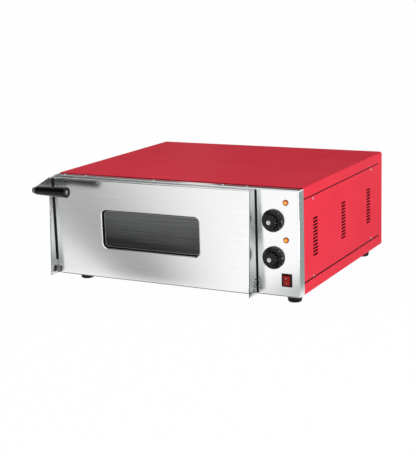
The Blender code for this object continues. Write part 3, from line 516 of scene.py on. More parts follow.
# Top cover: two side flanges, and a tongue that runs on over the rear panel.
outline = [(-skinX, coverLow), (-skinX, crownZ), (skinX, crownZ), (skinX, coverLow)]
coverShape = foldedSheet(outline, 0.0, sideEnd, bend)
rearEdge = [e for e in coverShape.edges
            if all(v.co.y > sideEnd - flatWithin and v.co.z > crownZ - flatWithin for v in e.verts)]
pullBack(coverShape, rearEdge, casing["depth"] - sideEnd)
makeSheet("topCover", coverShape, red, "casing", "top_cover", gauge, casing["edge"])

outline = [(-skinX, trayHigh), (-skinX, floorZ), (skinX, floorZ), (skinX, trayHigh)]
trayShape = foldedSheet(outline, 0.0, sideEnd, bend)
makeSheet("baseTray", trayShape, red, "casing", "base_tray", gauge, casing["edge"])

# Rear panel: a shallow tray, open to the front, with the hole of the cord's gland.
gland = {"x": 0.250, "z": 0.060, "hole": 0.0083}
rearShape = openTray((-skinX, sideEnd + gap, floorZ), (skinX, rearY, crownZ - gauge - gap), toFront, bend)
atGland = Matrix.Translation((gland["x"], rearY, gland["z"])) @ frontView
bmesh.ops.create_circle(rearShape, cap_ends=False, segments=40, radius=gland["hole"], matrix=atGland)
pierce(rearShape, toRear, rearY)
makeSheet("rearPanel", rearShape, red, "casing", "rear_panel", gauge, casing["edge"])

# Side panels: edges joggled in behind the cover and the tray, with three columns of vent slots.
vents = {"rows": 12, "columns": 3, "pitch": 0.008, "length": 0.029, "height": 0.0046, "middleZ": 0.1272,
         "firstY": 0.069, "columnPitch": 0.1827, "endSteps": 16}


def drawVents(bm, x):
    halfRun = (vents["length"] - vents["height"]) / 2
    steps = vents["endSteps"]
    for column in range(vents["columns"]):
        y = vents["firstY"] + column * vents["columnPitch"]
        for row in range(vents["rows"]):
            z = vents["middleZ"] + (row - (vents["rows"] - 1) / 2) * vents["pitch"]
            turn = Matrix.Translation((x, y, z)) @ sideView @ Matrix.Rotation(math.pi / steps, 4, "Z")
            ring = bmesh.ops.create_circle(bm, cap_ends=False, segments=steps, radius=vents["height"] / 2,
                                           matrix=turn)["verts"]
            for vert in ring:  # a circle drawn apart into a slot
                vert.co.y += math.copysign(halfRun, vert.co.y - y)


joggle = {"step": 0.0016, "groove": 0.0034, "bend": 0.0007, "tuck": 0.014, "endGap": 0.0007, "grooveShade": 0.0009,
          "grooveShadeEdge": 0.0003}
for side, sign in sides:
    panelX = sign * skinX
    tuckedX = sign * (skinX - gauge - gap)
    panelEnd = sideEnd - joggle["endGap"]
    lowBend = trayHigh + joggle["groove"]
    highBend = coverLow - joggle["groove"]
    outline = [(tuckedX, trayHigh - joggle["tuck"]), (tuckedX, lowBend), (panelX, lowBend + joggle["step"]),
               (panelX, highBend - joggle["step"]), (tuckedX, highBend), (tuckedX, coverLow + joggle["tuck"])]
    panelShape = foldedSheet(outline, gap, panelEnd, joggle["bend"], 3)
    outward = Vector((sign, 0, 0))
    if max(panelShape.faces, key=lambda f: f.calc_area()).normal.dot(outward) < 0:
        bmesh.ops.reverse_faces(panelShape, faces=panelShape.faces)
    drawVents(panelShape, panelX)
    pierce(panelShape, outward, panelX)
    makeSheet(side + "SidePanel", panelShape, red, "casing", side + "_side_panel", gauge,
              casing["fineEdge"])
    # dark red strips laid in the two grooves, where their shade falls: painted shade
    grooveShades = []
    for low, high in ((trayHigh, lowBend), (highBend, coverLow)):
        nearX, farX = sorted(tuckedX + sign * (gauge / 2 + reach) for reach in (hair, joggle["grooveShade"]))
        grooveShade = boxShape((nearX, gap, low + hair), (farX, panelEnd, high - hair))
        grooveShades.append(softEdges(grooveShade, joggle["grooveShadeEdge"], 2))
    makePiece(side + "GrooveShadeStrips", joined(grooveShades), grooveShadeRed, "casing")

# Front panel: a shallow tray behind the door, with the oven's mouth and the holes of the controls.
front = {"y": -0.028, "top": 0.253, "mouthX": -0.051, "mouthHalf": (0.225, 0.074), "mouthZ": 0.122,
         "mouthBend": 0.0025, "knobX": 0.2725, "knobZ": (0.180, 0.092), "shaftHole": 0.0036, "lampX": 0.3045,
         "lampRise": 0.0437, "lampHole": 0.0048, "switchX": 0.305, "switchZ": 0.0404,
         "switchHalf": (0.01145, 0.0142), "hingeX": (-0.3220, 0.2200), "hingeHalf": (0.0018, 0.0073),
         "hingeZ": 0.012}
faceY = front["y"] + gauge / 2
panelShape = openTray((-skinX, faceY, floorZ), (skinX, -gap, front["top"] - gauge / 2), toRear, bend)


def frontHole(bm, x, z, radius=None, half=None, soft=0.0):
    turn = Matrix.Translation((x, faceY, z)) @ frontView
    if radius:
        bmesh.ops.create_circle(bm, cap_ends=False, segments=40, radius=radius, matrix=turn)
    else:
        bmesh.ops.transform(bm, matrix=turn, verts=roundedLoop(bm, half[0], half[1], soft, 4)[0])


frontHole(panelShape, front["mouthX"], front["mouthZ"], half=front["mouthHalf"], soft=front["mouthBend"])
frontHole(panelShape, front["switchX"], front["switchZ"], half=front["switchHalf"])
for knobZ in front["knobZ"]:
    frontHole(panelShape, front["knobX"], knobZ, front["shaftHole"])
    frontHole(panelShape, front["lampX"], knobZ + front["lampRise"], front["lampHole"])
for hingeX in front["hingeX"]:
    frontHole(panelShape, hingeX, front["hingeZ"], half=front["hingeHalf"])
pierce(panelShape, toFront, faceY)
makeSheet("frontPanel", panelShape, brightFront, "casing", "front_panel", gauge,
          casing["fineEdge"])
print("casing sheets folded")

# Feet: tapered rubber with a rounded tread, a moulded ring and a screw well.
foot = {"top": 0.0187, "collar": 0.0060, "draft": 0.0008, "ring": 0.0006, "body": 0.0177, "waist": 0.0200,
        "bottom": 0.0160, "height": 0.0288, "well": 0.006, "wellDepth": 0.006, "insetX": 0.042,
        "insetY": 0.0386}
wellZ = foot["wellDepth"] - foot["height"]
footLine = [(0.0, -gap, 0), (foot["top"], -gap, 0.0006),
            (foot["top"] - foot["draft"], -foot["collar"], 0.0004),
            (foot["body"], -foot["collar"] - foot["ring"], 0.0003), (foot["body"], -foot["waist"], 0.0030),
            (foot["bottom"], -foot["height"], 0.0024), (foot["well"], -foot["height"], 0.0008),
            (foot["well"], wellZ, 0.0004), (0.0, wellZ, 0)]
for row, y in (("front", foot["insetY"]), ("rear", casing["depth"] - gap - foot["insetY"])):
    for side, sign in sides:
        shape = turned(footLine, (sign * (halfWidth - foot["insetX"]), y, 0.0), upward, 48)
        makePiece(row + side.capitalize() + "Foot", shape, rubber, "casing",
                  [f"{row}_{side}_foot"])
print("feet turned")

# Screws: pan heads with a cross recess, set wherever the sheets are fixed.
screw = {"radius": 0.0026, "rise": 0.0014, "crown": 0.75, "wall": 0.35, "slot": 0.0007, "reach": 0.0030,
         "depth": 0.0008}


def screwHead(place, facing, turn, size):
    radius, top = screw["radius"], screw["rise"]
    headLine = [(0.0, top, 0), (radius * screw["crown"], top, 0), (radius, top * screw["wall"], 0.0004),
                (radius, 0.0, 0), (0.0, 0.0, 0)]
    head = turned(headLine, nowhere, upward, 28)
    bars = []
    for angle in (0, 90):
        bar = boxShape((-screw["reach"] / 2, -screw["slot"] / 2, top - screw["depth"]),
                       (screw["reach"] / 2, screw["slot"] / 2, top + screw["depth"]))
        cross = Matrix.Rotation(math.radians(turn + angle), 3, "Z")
        bmesh.ops.rotate(bar, cent=nowhere, matrix=cross, verts=bar.verts)
        bars.append(bar)
    head = cutAway(head, bars)
    bmesh.ops.scale(head, vec=(size, size, size), verts=head.verts)
    return seated(head, place, facing)


def setScrews(name, body, places, facing, first, step, size=1.0):  # first, step: how each cross is turned
    heads = [screwHead(place, facing, first + step * i, size) for i, place in enumerate(places)]
    makePiece(name, joined(heads), zinc, body, sharp=28)


fixing = {"side": [(0.055, 0.2205), (0.4535, 0.2215), (0.0555, 0.0345), (0.4525, 0.0355)],  # y, z
          "rearX": (-0.318, 0.0, 0.318), "rearZ": (0.018, 0.235), "flangeY": -0.013, "flangeSize": 0.9,
          "flangeX": (-0.312, -0.249, -0.051, 0.138, 0.200)}
for side, sign in sides:
    spots = [(sign * halfWidth, y, z) for y, z in fixing["side"]]
    setScrews(side + "SideScrews", "casing", spots, (sign, 0, 0), 25, 37)
spots = [(x, casing["depth"], z) for x in fixing["rearX"] for z in fixing["rearZ"]]
setScrews("rearScrews", "casing", spots, toRear, 15, 41)
spots = [(x, fixing["flangeY"], front["top"]) for x in fixing["flangeX"]]
setScrews("flangeScrews", "casing", spots, upward, 10, 53, fixing["flangeSize"])
print("screws set")

# Door skin: folded tray with the edge of its window rolled back to the glass.
door = {"left": -0.3292, "right": 0.2272, "face": -0.0435, "rear": -0.033, "bottom": 0.001, "top": 0.250,
        "windowX": -0.051, "windowZ": 0.127, "windowHalf": (0.137, 0.0485), "windowRadius": 0.013,
        "roll": 0.0020, "rollSteps": 8, "flange": 0.0003, "glass": -0.0343, "notchHalf": 0.003,
        "notchTop": 0.0205}
plane = door["face"] + gauge / 2
skin = openTray((door["left"] + gauge / 2, plane, door["bottom"] + gauge / 2),
                (door["right"] - gauge / 2, door["rear"], door["top"] - gauge / 2), toRear, bend)


def windowLoop(bm, spread, y):
    halfWide, halfHigh = door["windowHalf"]
    verts, edges = roundedLoop(bm, halfWide + spread, halfHigh + spread, door["windowRadius"] + spread, 12)
    turn = Matrix.Translation((door["windowX"], y, door["windowZ"])) @ frontView
    bmesh.ops.transform(bm, matrix=turn, verts=verts)
    return edges


rollStart = door["roll"] + gauge / 2
windowLoop(skin, rollStart, plane)
pierce(skin, toFront, plane)
roll = bmesh.new()
lip = bmesh.ops.contextual_create(roll, geom=windowLoop(roll, rollStart, plane))["faces"]
if lip[0].normal.y > 0:
    bmesh.ops.reverse_faces(roll, faces=lip)
turns = [math.pi / 2 * i / door["rollSteps"] for i in range(door["rollSteps"] + 1)]
for before, after in zip(turns, turns[1:]):
    inward = door["roll"] * (math.sin(after) - math.sin(before))
    back = door["roll"] * (math.cos(after) - math.cos(before))
    bmesh.ops.inset_individual(roll, faces=lip, thickness=inward, depth=back, use_even_offset=True)
bmesh.ops.inset_individual(roll, faces=lip, thickness=flatWithin, depth=-door["flange"],
                           use_even_offset=True)
bmesh.ops.delete(roll, geom=lip, context="FACES_ONLY")
skin = joined([skin, roll])
bmesh.ops.remove_doubles(skin, verts=skin.verts, dist=mergeWithin)
bmesh.ops.recalc_face_normals(skin, faces=skin.faces)
notches = [boxShape((x - door["notchHalf"], 2 * door["face"], -door["notchTop"]),
                    (x + door["notchHalf"], 0.0, door["notchTop"])) for x in front["hingeX"]]
skin = cutAway(skin, notches, gauge)  # so its wall is there already
makeSheet("doorSkin", skin, brightFront, "door", "door_skin", 0.0, casing["fineEdge"])

# Round the glass: a rubber lining, a ledge in front of it and a bright bead inside the ledge.
glazing = {"lining": 0.0018, "inset": 0.0002, "ledge": 0.0030, "ledgeWall": 0.0009, "bead": 0.0040,
           "beadWall": 0.0011, "edge": 0.00025}


def windowRing(outer, inner, frontY, backY):  # a closed ring round the window, between two depths
    ring = bmesh.new()
    sheet = bmesh.ops.contextual_create(ring, geom=windowLoop(ring, outer, backY))["faces"]
    bmesh.ops.inset_individual(ring, faces=sheet, thickness=outer - inner, use_even_offset=True)
    bmesh.ops.delete(ring, geom=sheet, context="FACES_ONLY")
    thicken(ring, (0, frontY - backY, 0))
    return softEdges(ring, glazing["edge"], 2, 40)


flangeEnd = plane + door["roll"] + door["flange"]
glassY = door["glass"]
lining = windowRing(glazing["lining"], glazing["inset"], flangeEnd + hair, glassY - gap)
makePiece("windowLining", lining, rubber, "door", ["window_lining"])
ledge = windowRing(hair, -glazing["ledge"], glassY - glazing["ledgeWall"], glassY - hair)
makePiece("windowLedge", ledge, rubber, "door")
bead = windowRing(-glazing["ledge"] - hair, -glazing["bead"], glassY - glazing["beadWall"], glassY - hair)
makePiece("windowBead", bead, brightPlate, "door")

# Inner panel of the door, with a screw at each corner and half way along.
liner = {"y": -0.02875, "edge": 0.0003, "sink": 0.00145, "screwX": (-0.300, -0.051, 0.198),
         "screwZ": (0.024, 0.131, 0.238), "screwSize": 1.25}
innerShape = softEdges(nodeShape("door_inner_panel"), liner["edge"], 2, 45)
trueFlats(makePiece("doorInnerPanel", innerShape, greySteel, "door", ["door_inner_panel"],
                    place=nowhere))
middle = (liner["screwX"][1], liner["screwZ"][1])  # the glass is there
spots = [(x, liner["y"] - liner["sink"], z) for z in liner["screwZ"] for x in liner["screwX"]
         if (x, z) != middle]
setScrews("innerPanelScrews", "door", spots, toRear, 20, 47, liner["screwSize"])
print("door skin folded")

# Side plates of the door: bright faces with sheared edges. The left one's lug carries the handle.
plates = {"edge": 0.0004, "lugX": (-0.34, -0.32),
          "lugBite": ((-0.1130, 0.2200), (-0.0590, 0.2050), (-0.0605, 0.1880), (-0.1400, 0.1880),
                      (-0.1400, 0.2200))}
for side in ("left", "right"):
    plate = nodeShape(side + "_door_plate")
    if side == "left":
        bite = bmesh.new()
        lowX, highX = plates["lugX"]
        outline = [bite.verts.new(corner + Vector((lowX, y, z))) for y, z in plates["lugBite"]]
        bmesh.ops.contextual_create(bite, geom=outline)
        thicken(bite, (highX - lowX, 0, 0))
        plate = cutAway(plate, [bite])  # the lug's lower edge rises to the grip
        bmesh.ops.dissolve_limit(plate, angle_limit=math.radians(0.5), verts=plate.verts, edges=plate.edges)
    softEdges(plate, plates["edge"], 3, 45)
    plate.normal_update()
    # the rims take the near black sheared finish, partly painted shade
    for face in plate.faces:
        face.material_index = int(abs(face.normal.x) < 0.5)
    piece = makePiece(side + "DoorPlate", plate, brightPlate, "door",
                      [side + "_door_plate"], place=nowhere)
    piece.data.materials.append(cutEdgeShade)
    trueFlats(piece)

# Hinge pins, and a zigzag of rivets on each plate.
hinge = {"y": -0.047, "left": -0.3315, "right": 0.2295, "pin": 0.0025, "head": 0.005, "rise": 0.002,
         "reach": 0.0123, "rivet": 0.0021, "rivetRise": 0.0011,
         "rivets": ((-0.0425, 0.0195), (-0.0480, 0.0255), (-0.0430, 0.0320), (-0.0380, 0.0255),
                    (-0.0385, 0.0375))}
pinLine = [(0.0, hinge["rise"], 0), (hinge["head"], hinge["rise"], 0.0013), (hinge["head"], 0.0, 0.0003),
           (hinge["pin"], 0.0, 0), (hinge["pin"], -hinge["reach"], 0.0006), (0.0, -hinge["reach"], 0)]


def studLine(radius, rise, soft):  # a flat button
    return [(0.0, rise, 0), (radius, rise, soft), (radius, 0.0, 0), (0.0, 0.0, 0)]


rivetLine = studLine(hinge["rivet"], hinge["rivetRise"], 0.0008)
for side, sign in sides:
    plateX = hinge[side]
    pin = turned(pinLine, (plateX + sign * gap, hinge["y"], front["hingeZ"]), (sign, 0, 0), 40)
    makePiece(side + "HingePin", pin, greySteel, "door", [side + "_hinge_pin"])
    rivets = joined([turned(rivetLine, (plateX, y, z), (sign, 0, 0), 24) for y, z in hinge["rivets"]])
    makePiece(side + "PlateRivets", rivets, sheath, "door")

# Handle: a tapered grip on a bolt through the lug of the left plate.
handle = {"y": -0.113, "z": 0.229, "lugWall": 0.002, "length": 0.092, "root": 0.0105, "rootHeight": 0.004,
          "rootStep": 0.0006, "end": 0.013, "endHeight": 0.012, "dish": 0.0022, "dishFloor": 0.0078,
          "dishRim": 0.0090, "socket": 0.0033, "socketDepth": 0.040, "washer": 0.0085, "washerWall": 0.0012,
          "bolt": 0.0079, "boltRise": 0.0052, "shank": 0.003, "shankReach": 0.0432, "plug": 0.0058,
          "plugWall": 0.0006}
endZ, dishZ = handle["length"], handle["length"] - handle["dish"]
gripLine = [(0.0, dishZ, 0), (handle["dishFloor"], dishZ, 0.0008), (handle["dishRim"], endZ, 0.0006),
            (handle["end"], endZ, 0.0018), (handle["end"], endZ - handle["endHeight"], 0.004),
            (handle["root"], handle["rootHeight"], 0.001), (handle["root"] - handle["rootStep"], 0.0, 0.001),
            (handle["socket"], 0.0, 0), (handle["socket"], handle["socketDepth"], 0),
            (0.0, handle["socketDepth"], 0)]
washerLine = [(handle["washer"], handle["washerWall"], 0.0003), (handle["washer"], 0.0, 0.0002),
              (handle["socket"], 0.0, 0), (handle["socket"], handle["washerWall"], 0.0003),
              (handle["washer"], handle["washerWall"], 0)]
boltLine = [(0.0, handle["boltRise"], 0), (handle["bolt"], handle["boltRise"], 0.0026),
            (handle["bolt"], 0.0, 0.0003), (handle["shank"], 0.0, 0),
            (handle["shank"], -handle["shankReach"], 0.0005), (0.0, -handle["shankReach"], 0)]
gripX = hinge["left"] + handle["lugWall"] + gap
washerX = hinge["left"] - gap


def onHandle(line, x, way, steps):
    return turned(line, (x, handle["y"], handle["z"]), (way, 0, 0), steps)


makePiece("handleGrip", onHandle(gripLine, gripX, 1, 72), black, "door", ["handle_grip"])
plug = onHandle(studLine(handle["plug"], handle["plugWall"], 0.0003), gripX + dishZ, 1, 40)
makePiece("handlePlug", plug, greySteel, "door")
washer = onHandle(washerLine, washerX, -1, 48)
makePiece("handleWasher", washer, zinc, "door", ["handle_washer"])
bolt = onHandle(boltLine, washerX - handle["washerWall"] - gap, -1, 48)
makePiece("handleBolt", bolt, rubber, "door", ["handle_bolt"])

# Black strips on the front panel behind the side plates, and a black bead in the corner of the left plate,
# laid where the gaps between the parts lie in shade: painted shade.
shadeSeals = {"wall": 0.0006, "edge": 0.00025, "low": 0.004, "high": 0.250, "seat": 0.00002,
        "left": (-0.3345, -0.3242), "right": (0.2222, 0.2325), "beadEdge": 0.0003, "beadLow": 0.037,
        "beadHigh": 0.249,
        "bead": ((-0.3294, -0.0475), (-0.3284, -0.0479), (-0.3275, -0.0468), (-0.3272, -0.0438),
                 (-0.3285, -0.0426), (-0.3291, -0.0410), (-0.3294, -0.0410))}
for side in ("left", "right"):
    lowX, highX = shadeSeals[side]
    strip = boxShape((lowX, front["y"] - shadeSeals["wall"], shadeSeals["low"]),
                     (highX, front["y"] - shadeSeals["seat"], shadeSeals["high"]))
    makePiece(side + "DoorShadeStrip", softEdges(strip, shadeSeals["edge"], 2), rubber, "casing")
fillet = bmesh.new()
outline = [fillet.verts.new((x, y, shadeSeals["beadLow"])) for x, y in shadeSeals["bead"]]
bmesh.ops.contextual_create(fillet, geom=outline)
thicken(fillet, (0, 0, shadeSeals["beadHigh"] - shadeSeals["beadLow"]))
makePiece("plateShadeBead", softEdges(fillet, shadeSeals["beadEdge"], 2, 40), rubber, "door")
print("door fittings made")

# Thermostat knobs: fluted grip on a dial skirt, with a bright cap and white numbers.
knob = {"skirt": 0.0267, "grip": 0.0165, "height": 0.026, "rim": 0.0045, "rimWidth": 0.004,
        "skirtHeight": 0.0075, "draft": 0.001, "well": 0.0076, "flutes": 14, "flute": 0.0022,
        "fluteOut": 0.0013, "fluteFoot": 0.0098, "fluteOver": 0.010, "lift": 0.0008, "bore": 0.0033,
        "boreDepth": 0.016, "edge": 0.0003}
cap = {"radius": 0.0054, "wall": 0.0016,  # its dimple in shares of these
       "dimple": 0.26, "dimpleRim": 0.40, "dimpleFloor": 0.3}
dial = {"numbers": range(0, 351, 50), "sweep": 300, "size": 0.0029, "ring": 0.0247, "ringHeight": 0.0060,
        "slope": 36.87, "tickHalf": (0.0002, 0.0008), "foilHalf": 0.00006}
capFloor = knob["height"] - cap["wall"]


def flatText(words, size):
    drawn = bpy.data.curves.new("words", "FONT")
    drawn.body, drawn.size, drawn.align_x, drawn.align_y = words, size, "CENTER", "CENTER"
    drawn.extrude = dial["foilHalf"]
    drawn.resolution_u = 3
    holder = bpy.data.objects.new("words", drawn)
    scene.collection.objects.link(holder)
    return takeShape(holder)


def dialMarks():  # numbers and ticks on the sloping rim, drawn about +Z with zero at the top
    numbers, halves = dial["numbers"], (*dial["tickHalf"], dial["foilHalf"])
    share = dial["sweep"] / (len(numbers) - 1)
    marks = []
    for step in range(2 * len(numbers) - 1):  # a tick half way between two numbers
        if step % 2:
            mark = boxShape([-half for half in halves], halves)
        else:
            mark = flatText(str(numbers[step // 2]), dial["size"])
        onRim = Matrix.Rotation(math.radians(-step / 2 * share), 4, "Z") @ Matrix.Translation(
            (0, dial["ring"], dial["ringHeight"])) @ Matrix.Rotation(math.radians(-dial["slope"]), 4, "X")
        bmesh.ops.transform(mark, matrix=onRim, verts=mark.verts)
        marks.append(mark)
    return joined(marks)


def fluteRods():  # stand round the grip and rise past its top
    low, high = knob["fluteFoot"], knob["height"] + knob["fluteOver"]
    rods = bmesh.new()
    for index in range(knob["flutes"]):
        turn = Matrix.Rotation(2 * math.pi * (index + 0.5) / knob["flutes"], 4, "Z")
        out = Matrix.Translation((knob["grip"] + knob["fluteOut"], 0.0, (low + high) / 2))
        bmesh.ops.create_cone(rods, cap_ends=True, segments=24, radius1=knob["flute"], radius2=knob["flute"],
                              depth=high - low, matrix=turn @ out)
    return rods


knobLine = [(0.0, capFloor, 0), (knob["well"], capFloor, 0), (knob["well"], knob["height"], 0.0004),
            (knob["grip"], knob["height"], 0.0032),
            (knob["grip"] + knob["draft"], knob["skirtHeight"] + knob["draft"], 0.0016),
            (knob["skirt"] - knob["rimWidth"], knob["skirtHeight"], 0.0006),
            (knob["skirt"], knob["rim"], 0.0006), (knob["skirt"], 0.0, 0.0003), (knob["bore"], 0.0, 0),
            (knob["bore"], knob["boreDepth"], 0), (0.0, knob["boreDepth"], 0)]
dimpleZ = cap["wall"] * cap["dimpleFloor"]
capLine = [(0.0, dimpleZ, 0), (cap["radius"] * cap["dimple"], dimpleZ, 0.0003),
           (cap["radius"] * cap["dimpleRim"], cap["wall"], 0.0003), (cap["radius"], cap["wall"], 0.0007),
           (cap["radius"], 0.0, 0), (0.0, 0.0, 0)]

# Signal lamps: a domed lens with a small step at its rim; the glow, with its painted rim shade, sits a little
# off its middle.
lamp = {"height": 0.0064, "dome": 0.0062, "domeHeight": 0.0062, "side": 0.0064, "step": 0.0014,
        "rim": 0.0070, "rimWall": 0.0012, "neck": 0.0045, "reach": -0.013,
        "glow": Vector((0.0006, -0.003, 0.0004)), "glowRadius": 0.0088}
lampLine = [(0.0, lamp["height"], 0), (lamp["dome"], lamp["domeHeight"], 0.0050),
            (lamp["side"], lamp["step"], 0.0003), (lamp["rim"], lamp["rimWall"], 0.0004),
            (lamp["rim"], 0.0, 0), (lamp["neck"], 0.0, 0), (lamp["neck"], lamp["reach"], 0.0006),
            (0.0, lamp["reach"], 0)]
for name, knobZ in zip(("upper", "lower"), front["knobZ"]):
    body = name + "_knob"
    base = Vector((front["knobX"], front["y"] - knob["lift"], knobZ))
    fluted = cutAway(turned(knobLine, nowhere, upward, 112), [fluteRods()])
    piece = makePiece(name + "Knob", seated(fluted, base, toFront), black, body, [body])
    deburr(piece, knob["edge"], 32)
    makePiece(name + "DialNumbers", seated(dialMarks(), base, toFront), white, body)
    capBase = base + Vector((0, -capFloor - gap, 0))
    capFinish = turnedAluminium(name + "TurnedAluminium", capBase + corner)
    makePiece(name + "KnobCap", turned(capLine, capBase, toFront, 56), capFinish, body,
              [name + "_knob_cap"])
    lampBase = Vector((front["lampX"], front["y"] - gap, knobZ + front["lampRise"]))
    amber = amberLens(name + "AmberLens", lampBase + corner + lamp["glow"], lamp["glowRadius"])
    makePiece(name + "LampLens", turned(lampLine, lampBase, toFront, 48), amber, "casing",
              [name + "_lamp_lens"])
print("knobs and lamps made")

# Rocker switch, its frame softened and its marks set on the sloping faces.
rocker = {"pivotY": -0.0275, "tilt": 9.0, "slope": 9.46, "markY": -0.00403, "markZ": 0.0060,
          "markSize": 0.0062, "frameEdge": 0.0006, "edge": 0.0007}
housing = softEdges(nodeShape("switch_housing"), rocker["frameEdge"], 3, 45)
makePiece("switchHousing", housing, black, "casing", ["switch_housing"], place=nowhere)
button = softEdges(nodeShape("switch_rocker"), rocker["edge"], 3, 25)
makePiece("switchRocker", button, rockerRed, "rocker", ["switch_rocker"], place=nowhere)
atRest = Matrix.Translation((front["switchX"], rocker["pivotY"], front["switchZ"])) @ Matrix.Rotation(
    math.radians(rocker["tilt"]), 4, "X")
marks = []
for words, sign in (("O", 1), ("I", -1)):
    mark = flatText(words, rocker["markSize"])
    onFace = Matrix.Translation((0, rocker["markY"], sign * rocker["markZ"])) @ Matrix.Rotation(
        math.radians(90 + sign * rocker["slope"]), 4, "X")
    bmesh.ops.transform(mark, matrix=atRest @ onFace, verts=mark.verts)
    marks.append(mark)
makePiece("switchMarks", joined(marks), white, "rocker")

# Cord gland: a ribbed rubber sleeve through the rear panel.
sleeve = {"bore": 0.0045, "inner": -0.012, "outer": 0.014, "tip": 0.0075, "root": 0.0095, "collar": 0.0120,
          "collarWall": 0.0040, "neck": 0.0080,
          "ribs": [(0.0082, 0.0105, 0.0005), (0.0078, 0.0098, 0.0003), (0.0092, 0.0088, 0.0004),
                   (0.0092, 0.0070, 0.0004), (0.0086, 0.0064, 0.0003), (0.0095, 0.0056, 0.0004)]}
sleeveLine = [(sleeve["bore"], sleeve["inner"], 0), (sleeve["bore"], sleeve["outer"], 0.0008),
              (sleeve["tip"], sleeve["outer"], 0.0012), *sleeve["ribs"],
              (sleeve["root"], sleeve["collarWall"], 0.0004),
              (sleeve["collar"], sleeve["collarWall"], 0.0012), (sleeve["collar"], 0.0, 0.0003),
              (sleeve["neck"], 0.0, 0), (sleeve["neck"], sleeve["inner"], 0.0008),
              (sleeve["bore"], sleeve["inner"], 0)]
glandShape = turned(sleeveLine, (gland["x"], casing["depth"] + gap, gland["z"]), toRear, 56)
makePiece("cordGland", glandShape, rubber, "casing", ["cord_gland"])
print("switch and gland made")

# Inner pieces keep their CAD shape and take a real finish.
inside = [(hotSteel, ("chamber", "left_stone_ledge", "right_stone_ledge", "upper_element_rack",
                      "lower_element_rack")),
          (greySteel, ("front_chamber_support", "rear_chamber_support", "upper_thermostat_bulb",
                       "lower_thermostat_bulb", "left_hinge_bracket", "right_hinge_bracket")),
          (shadeDarkWool, ("insulation_jacket", "door_insulation")),
          (stone, ("pizza_stone",)),
          (sheath, ("upper_heating_element", "lower_heating_element")),
          (ceramic, ("upper_thermostat", "lower_thermostat", "terminal_block")),
          (black, ("upper_lamp_nut", "lower_lamp_nut")),
          (tinted, ("door_glass",)),
          (zinc, ("upper_thermostat_shaft", "lower_thermostat_shaft"))]
for finish, nodes in inside:
    for node in nodes:
        for materialSlot in bpy.data.objects[node].material_slots:
            materialSlot.material = finish
print("inner pieces finished:", sum(len(nodes) for finish, nodes in inside))

# Camera at the photograph's viewpoint.
view = {"place": (1.31068, -2.50317, 0.76421), "turn": (77.22994, 1.80652, 27.72271), "lens": 88.3145,
        "sensor": 36.0}
optics = bpy.data.cameras.new("camera")
optics.lens = view["lens"]
optics.sensor_width = view["sensor"]
camera = bpy.data.objects.new("camera", optics)
scene.collection.objects.link(camera)
camera.location = view["place"]
camera.rotation_euler = [math.radians(angle) for angle in view["turn"]]
scene.camera = camera

studio = {"floor": 60.0, "floorTint": "#F4F4F4", "floorGlow": 0.985, "world": 0.52,
          "softboxes": {"keySoftbox": {"place": (2.6, -0.7, 0.75), "aim": (0.2, 0.0, 0.12), "size": 0.9,
                                       "power": 36.0},
                        "fillSoftbox": {"place": (-1.6, -2.6, 2.2), "aim": (0.0, 0.0, 0.15), "size": 2.0,
                                        "power": 38.0}}}


def whiteRays(tree):  # 1 for rays that look at the background, straight or in metal and glass
    path = addNode(tree, "LightPath", {})
    seen = addNode(tree, "Math", {0: path.outputs["Is Camera Ray"], 1: path.outputs["Is Glossy Ray"]},
                   operation="ADD")
    return addNode(tree, "Math", {0: seen, 1: path.outputs["Is Transmission Ray"]}, operation="ADD",
                   use_clamp=True)


def stageFinish(name):  # with no surface of its own yet
    made = bpy.data.materials.new(name)
    made.use_nodes = True
    tree = made.node_tree
    tree.nodes.remove(tree.nodes["Principled BSDF"])
    return made, tree


def addFloor():
    # Pale seamless studio paper: near white, and lit enough by itself to look white to the camera.
    made, tree = stageFinish("palePaper")
    paper = addNode(tree, "BsdfDiffuse", {"Color": linear(studio["floorTint"])})
    glow = addNode(tree, "Emission", {"Color": (1, 1, 1, 1), "Strength": 1.0})
    share = addNode(tree, "Math", {0: whiteRays(tree), 1: studio["floorGlow"]}, operation="MULTIPLY")
    both = addNode(tree, "MixShader", {0: share, 1: paper, 2: glow})
    setSockets(tree, tree.nodes["Material Output"], {"Surface": both})
    bm = bmesh.new()
    bmesh.ops.create_grid(bm, x_segments=1, y_segments=1, size=studio["floor"])
    meshObject("floor", bm, made)


def addWorld():
    world = bpy.data.worlds.new("studio")
    scene.world = world
    world.use_nodes = True
    tree = world.node_tree
    level = addNode(tree, "MapRange", {"Value": whiteRays(tree), "To Min": studio["world"], "To Max": 1.0})
    setSockets(tree, tree.nodes["Background"], {"Color": (1, 1, 1, 1), "Strength": level})


def addSoftbox(name, place, aim, size, power):
    light = bpy.data.lights.new(name, "AREA")
    light.shape = "SQUARE"
    light.size = size
    light.energy = power
    box = bpy.data.objects.new(name, light)
    scene.collection.objects.link(box)
    box.location = place
    box.rotation_euler = (Vector(aim) - Vector(place)).to_track_quat("-Z", "Y").to_euler()
    box.visible_glossy = False  # it would burn out the bends of the steel


# Cards that only reflections see, as a photographer sets them round a mirror to give it shades. The graded
# one lies before the door. Its greys fan out from a point beside the oven, by degrees from straight forward.
grading = {"low": (-2.6, -2.6, 0.002), "high": (0.75, -0.30, 0.002), "soft": 0.12, "strength": 1.03,
           "centre": (0.39, 0.15, 0.0),
           "stops": [(24.0, "#FFFFFF"), (30.0, "#F6F6F6"), (34.0, "#E8E8E8"), (37.5, "#D2D2D2"),
                     (41.0, "#B2B2B2"), (43.0, "#A2A2A2"), (46.0, "#A3A3A3"), (48.5, "#B8B8B8"),
                     (50.5, "#DCDCDC"), (52.5, "#EAEAEA")]}
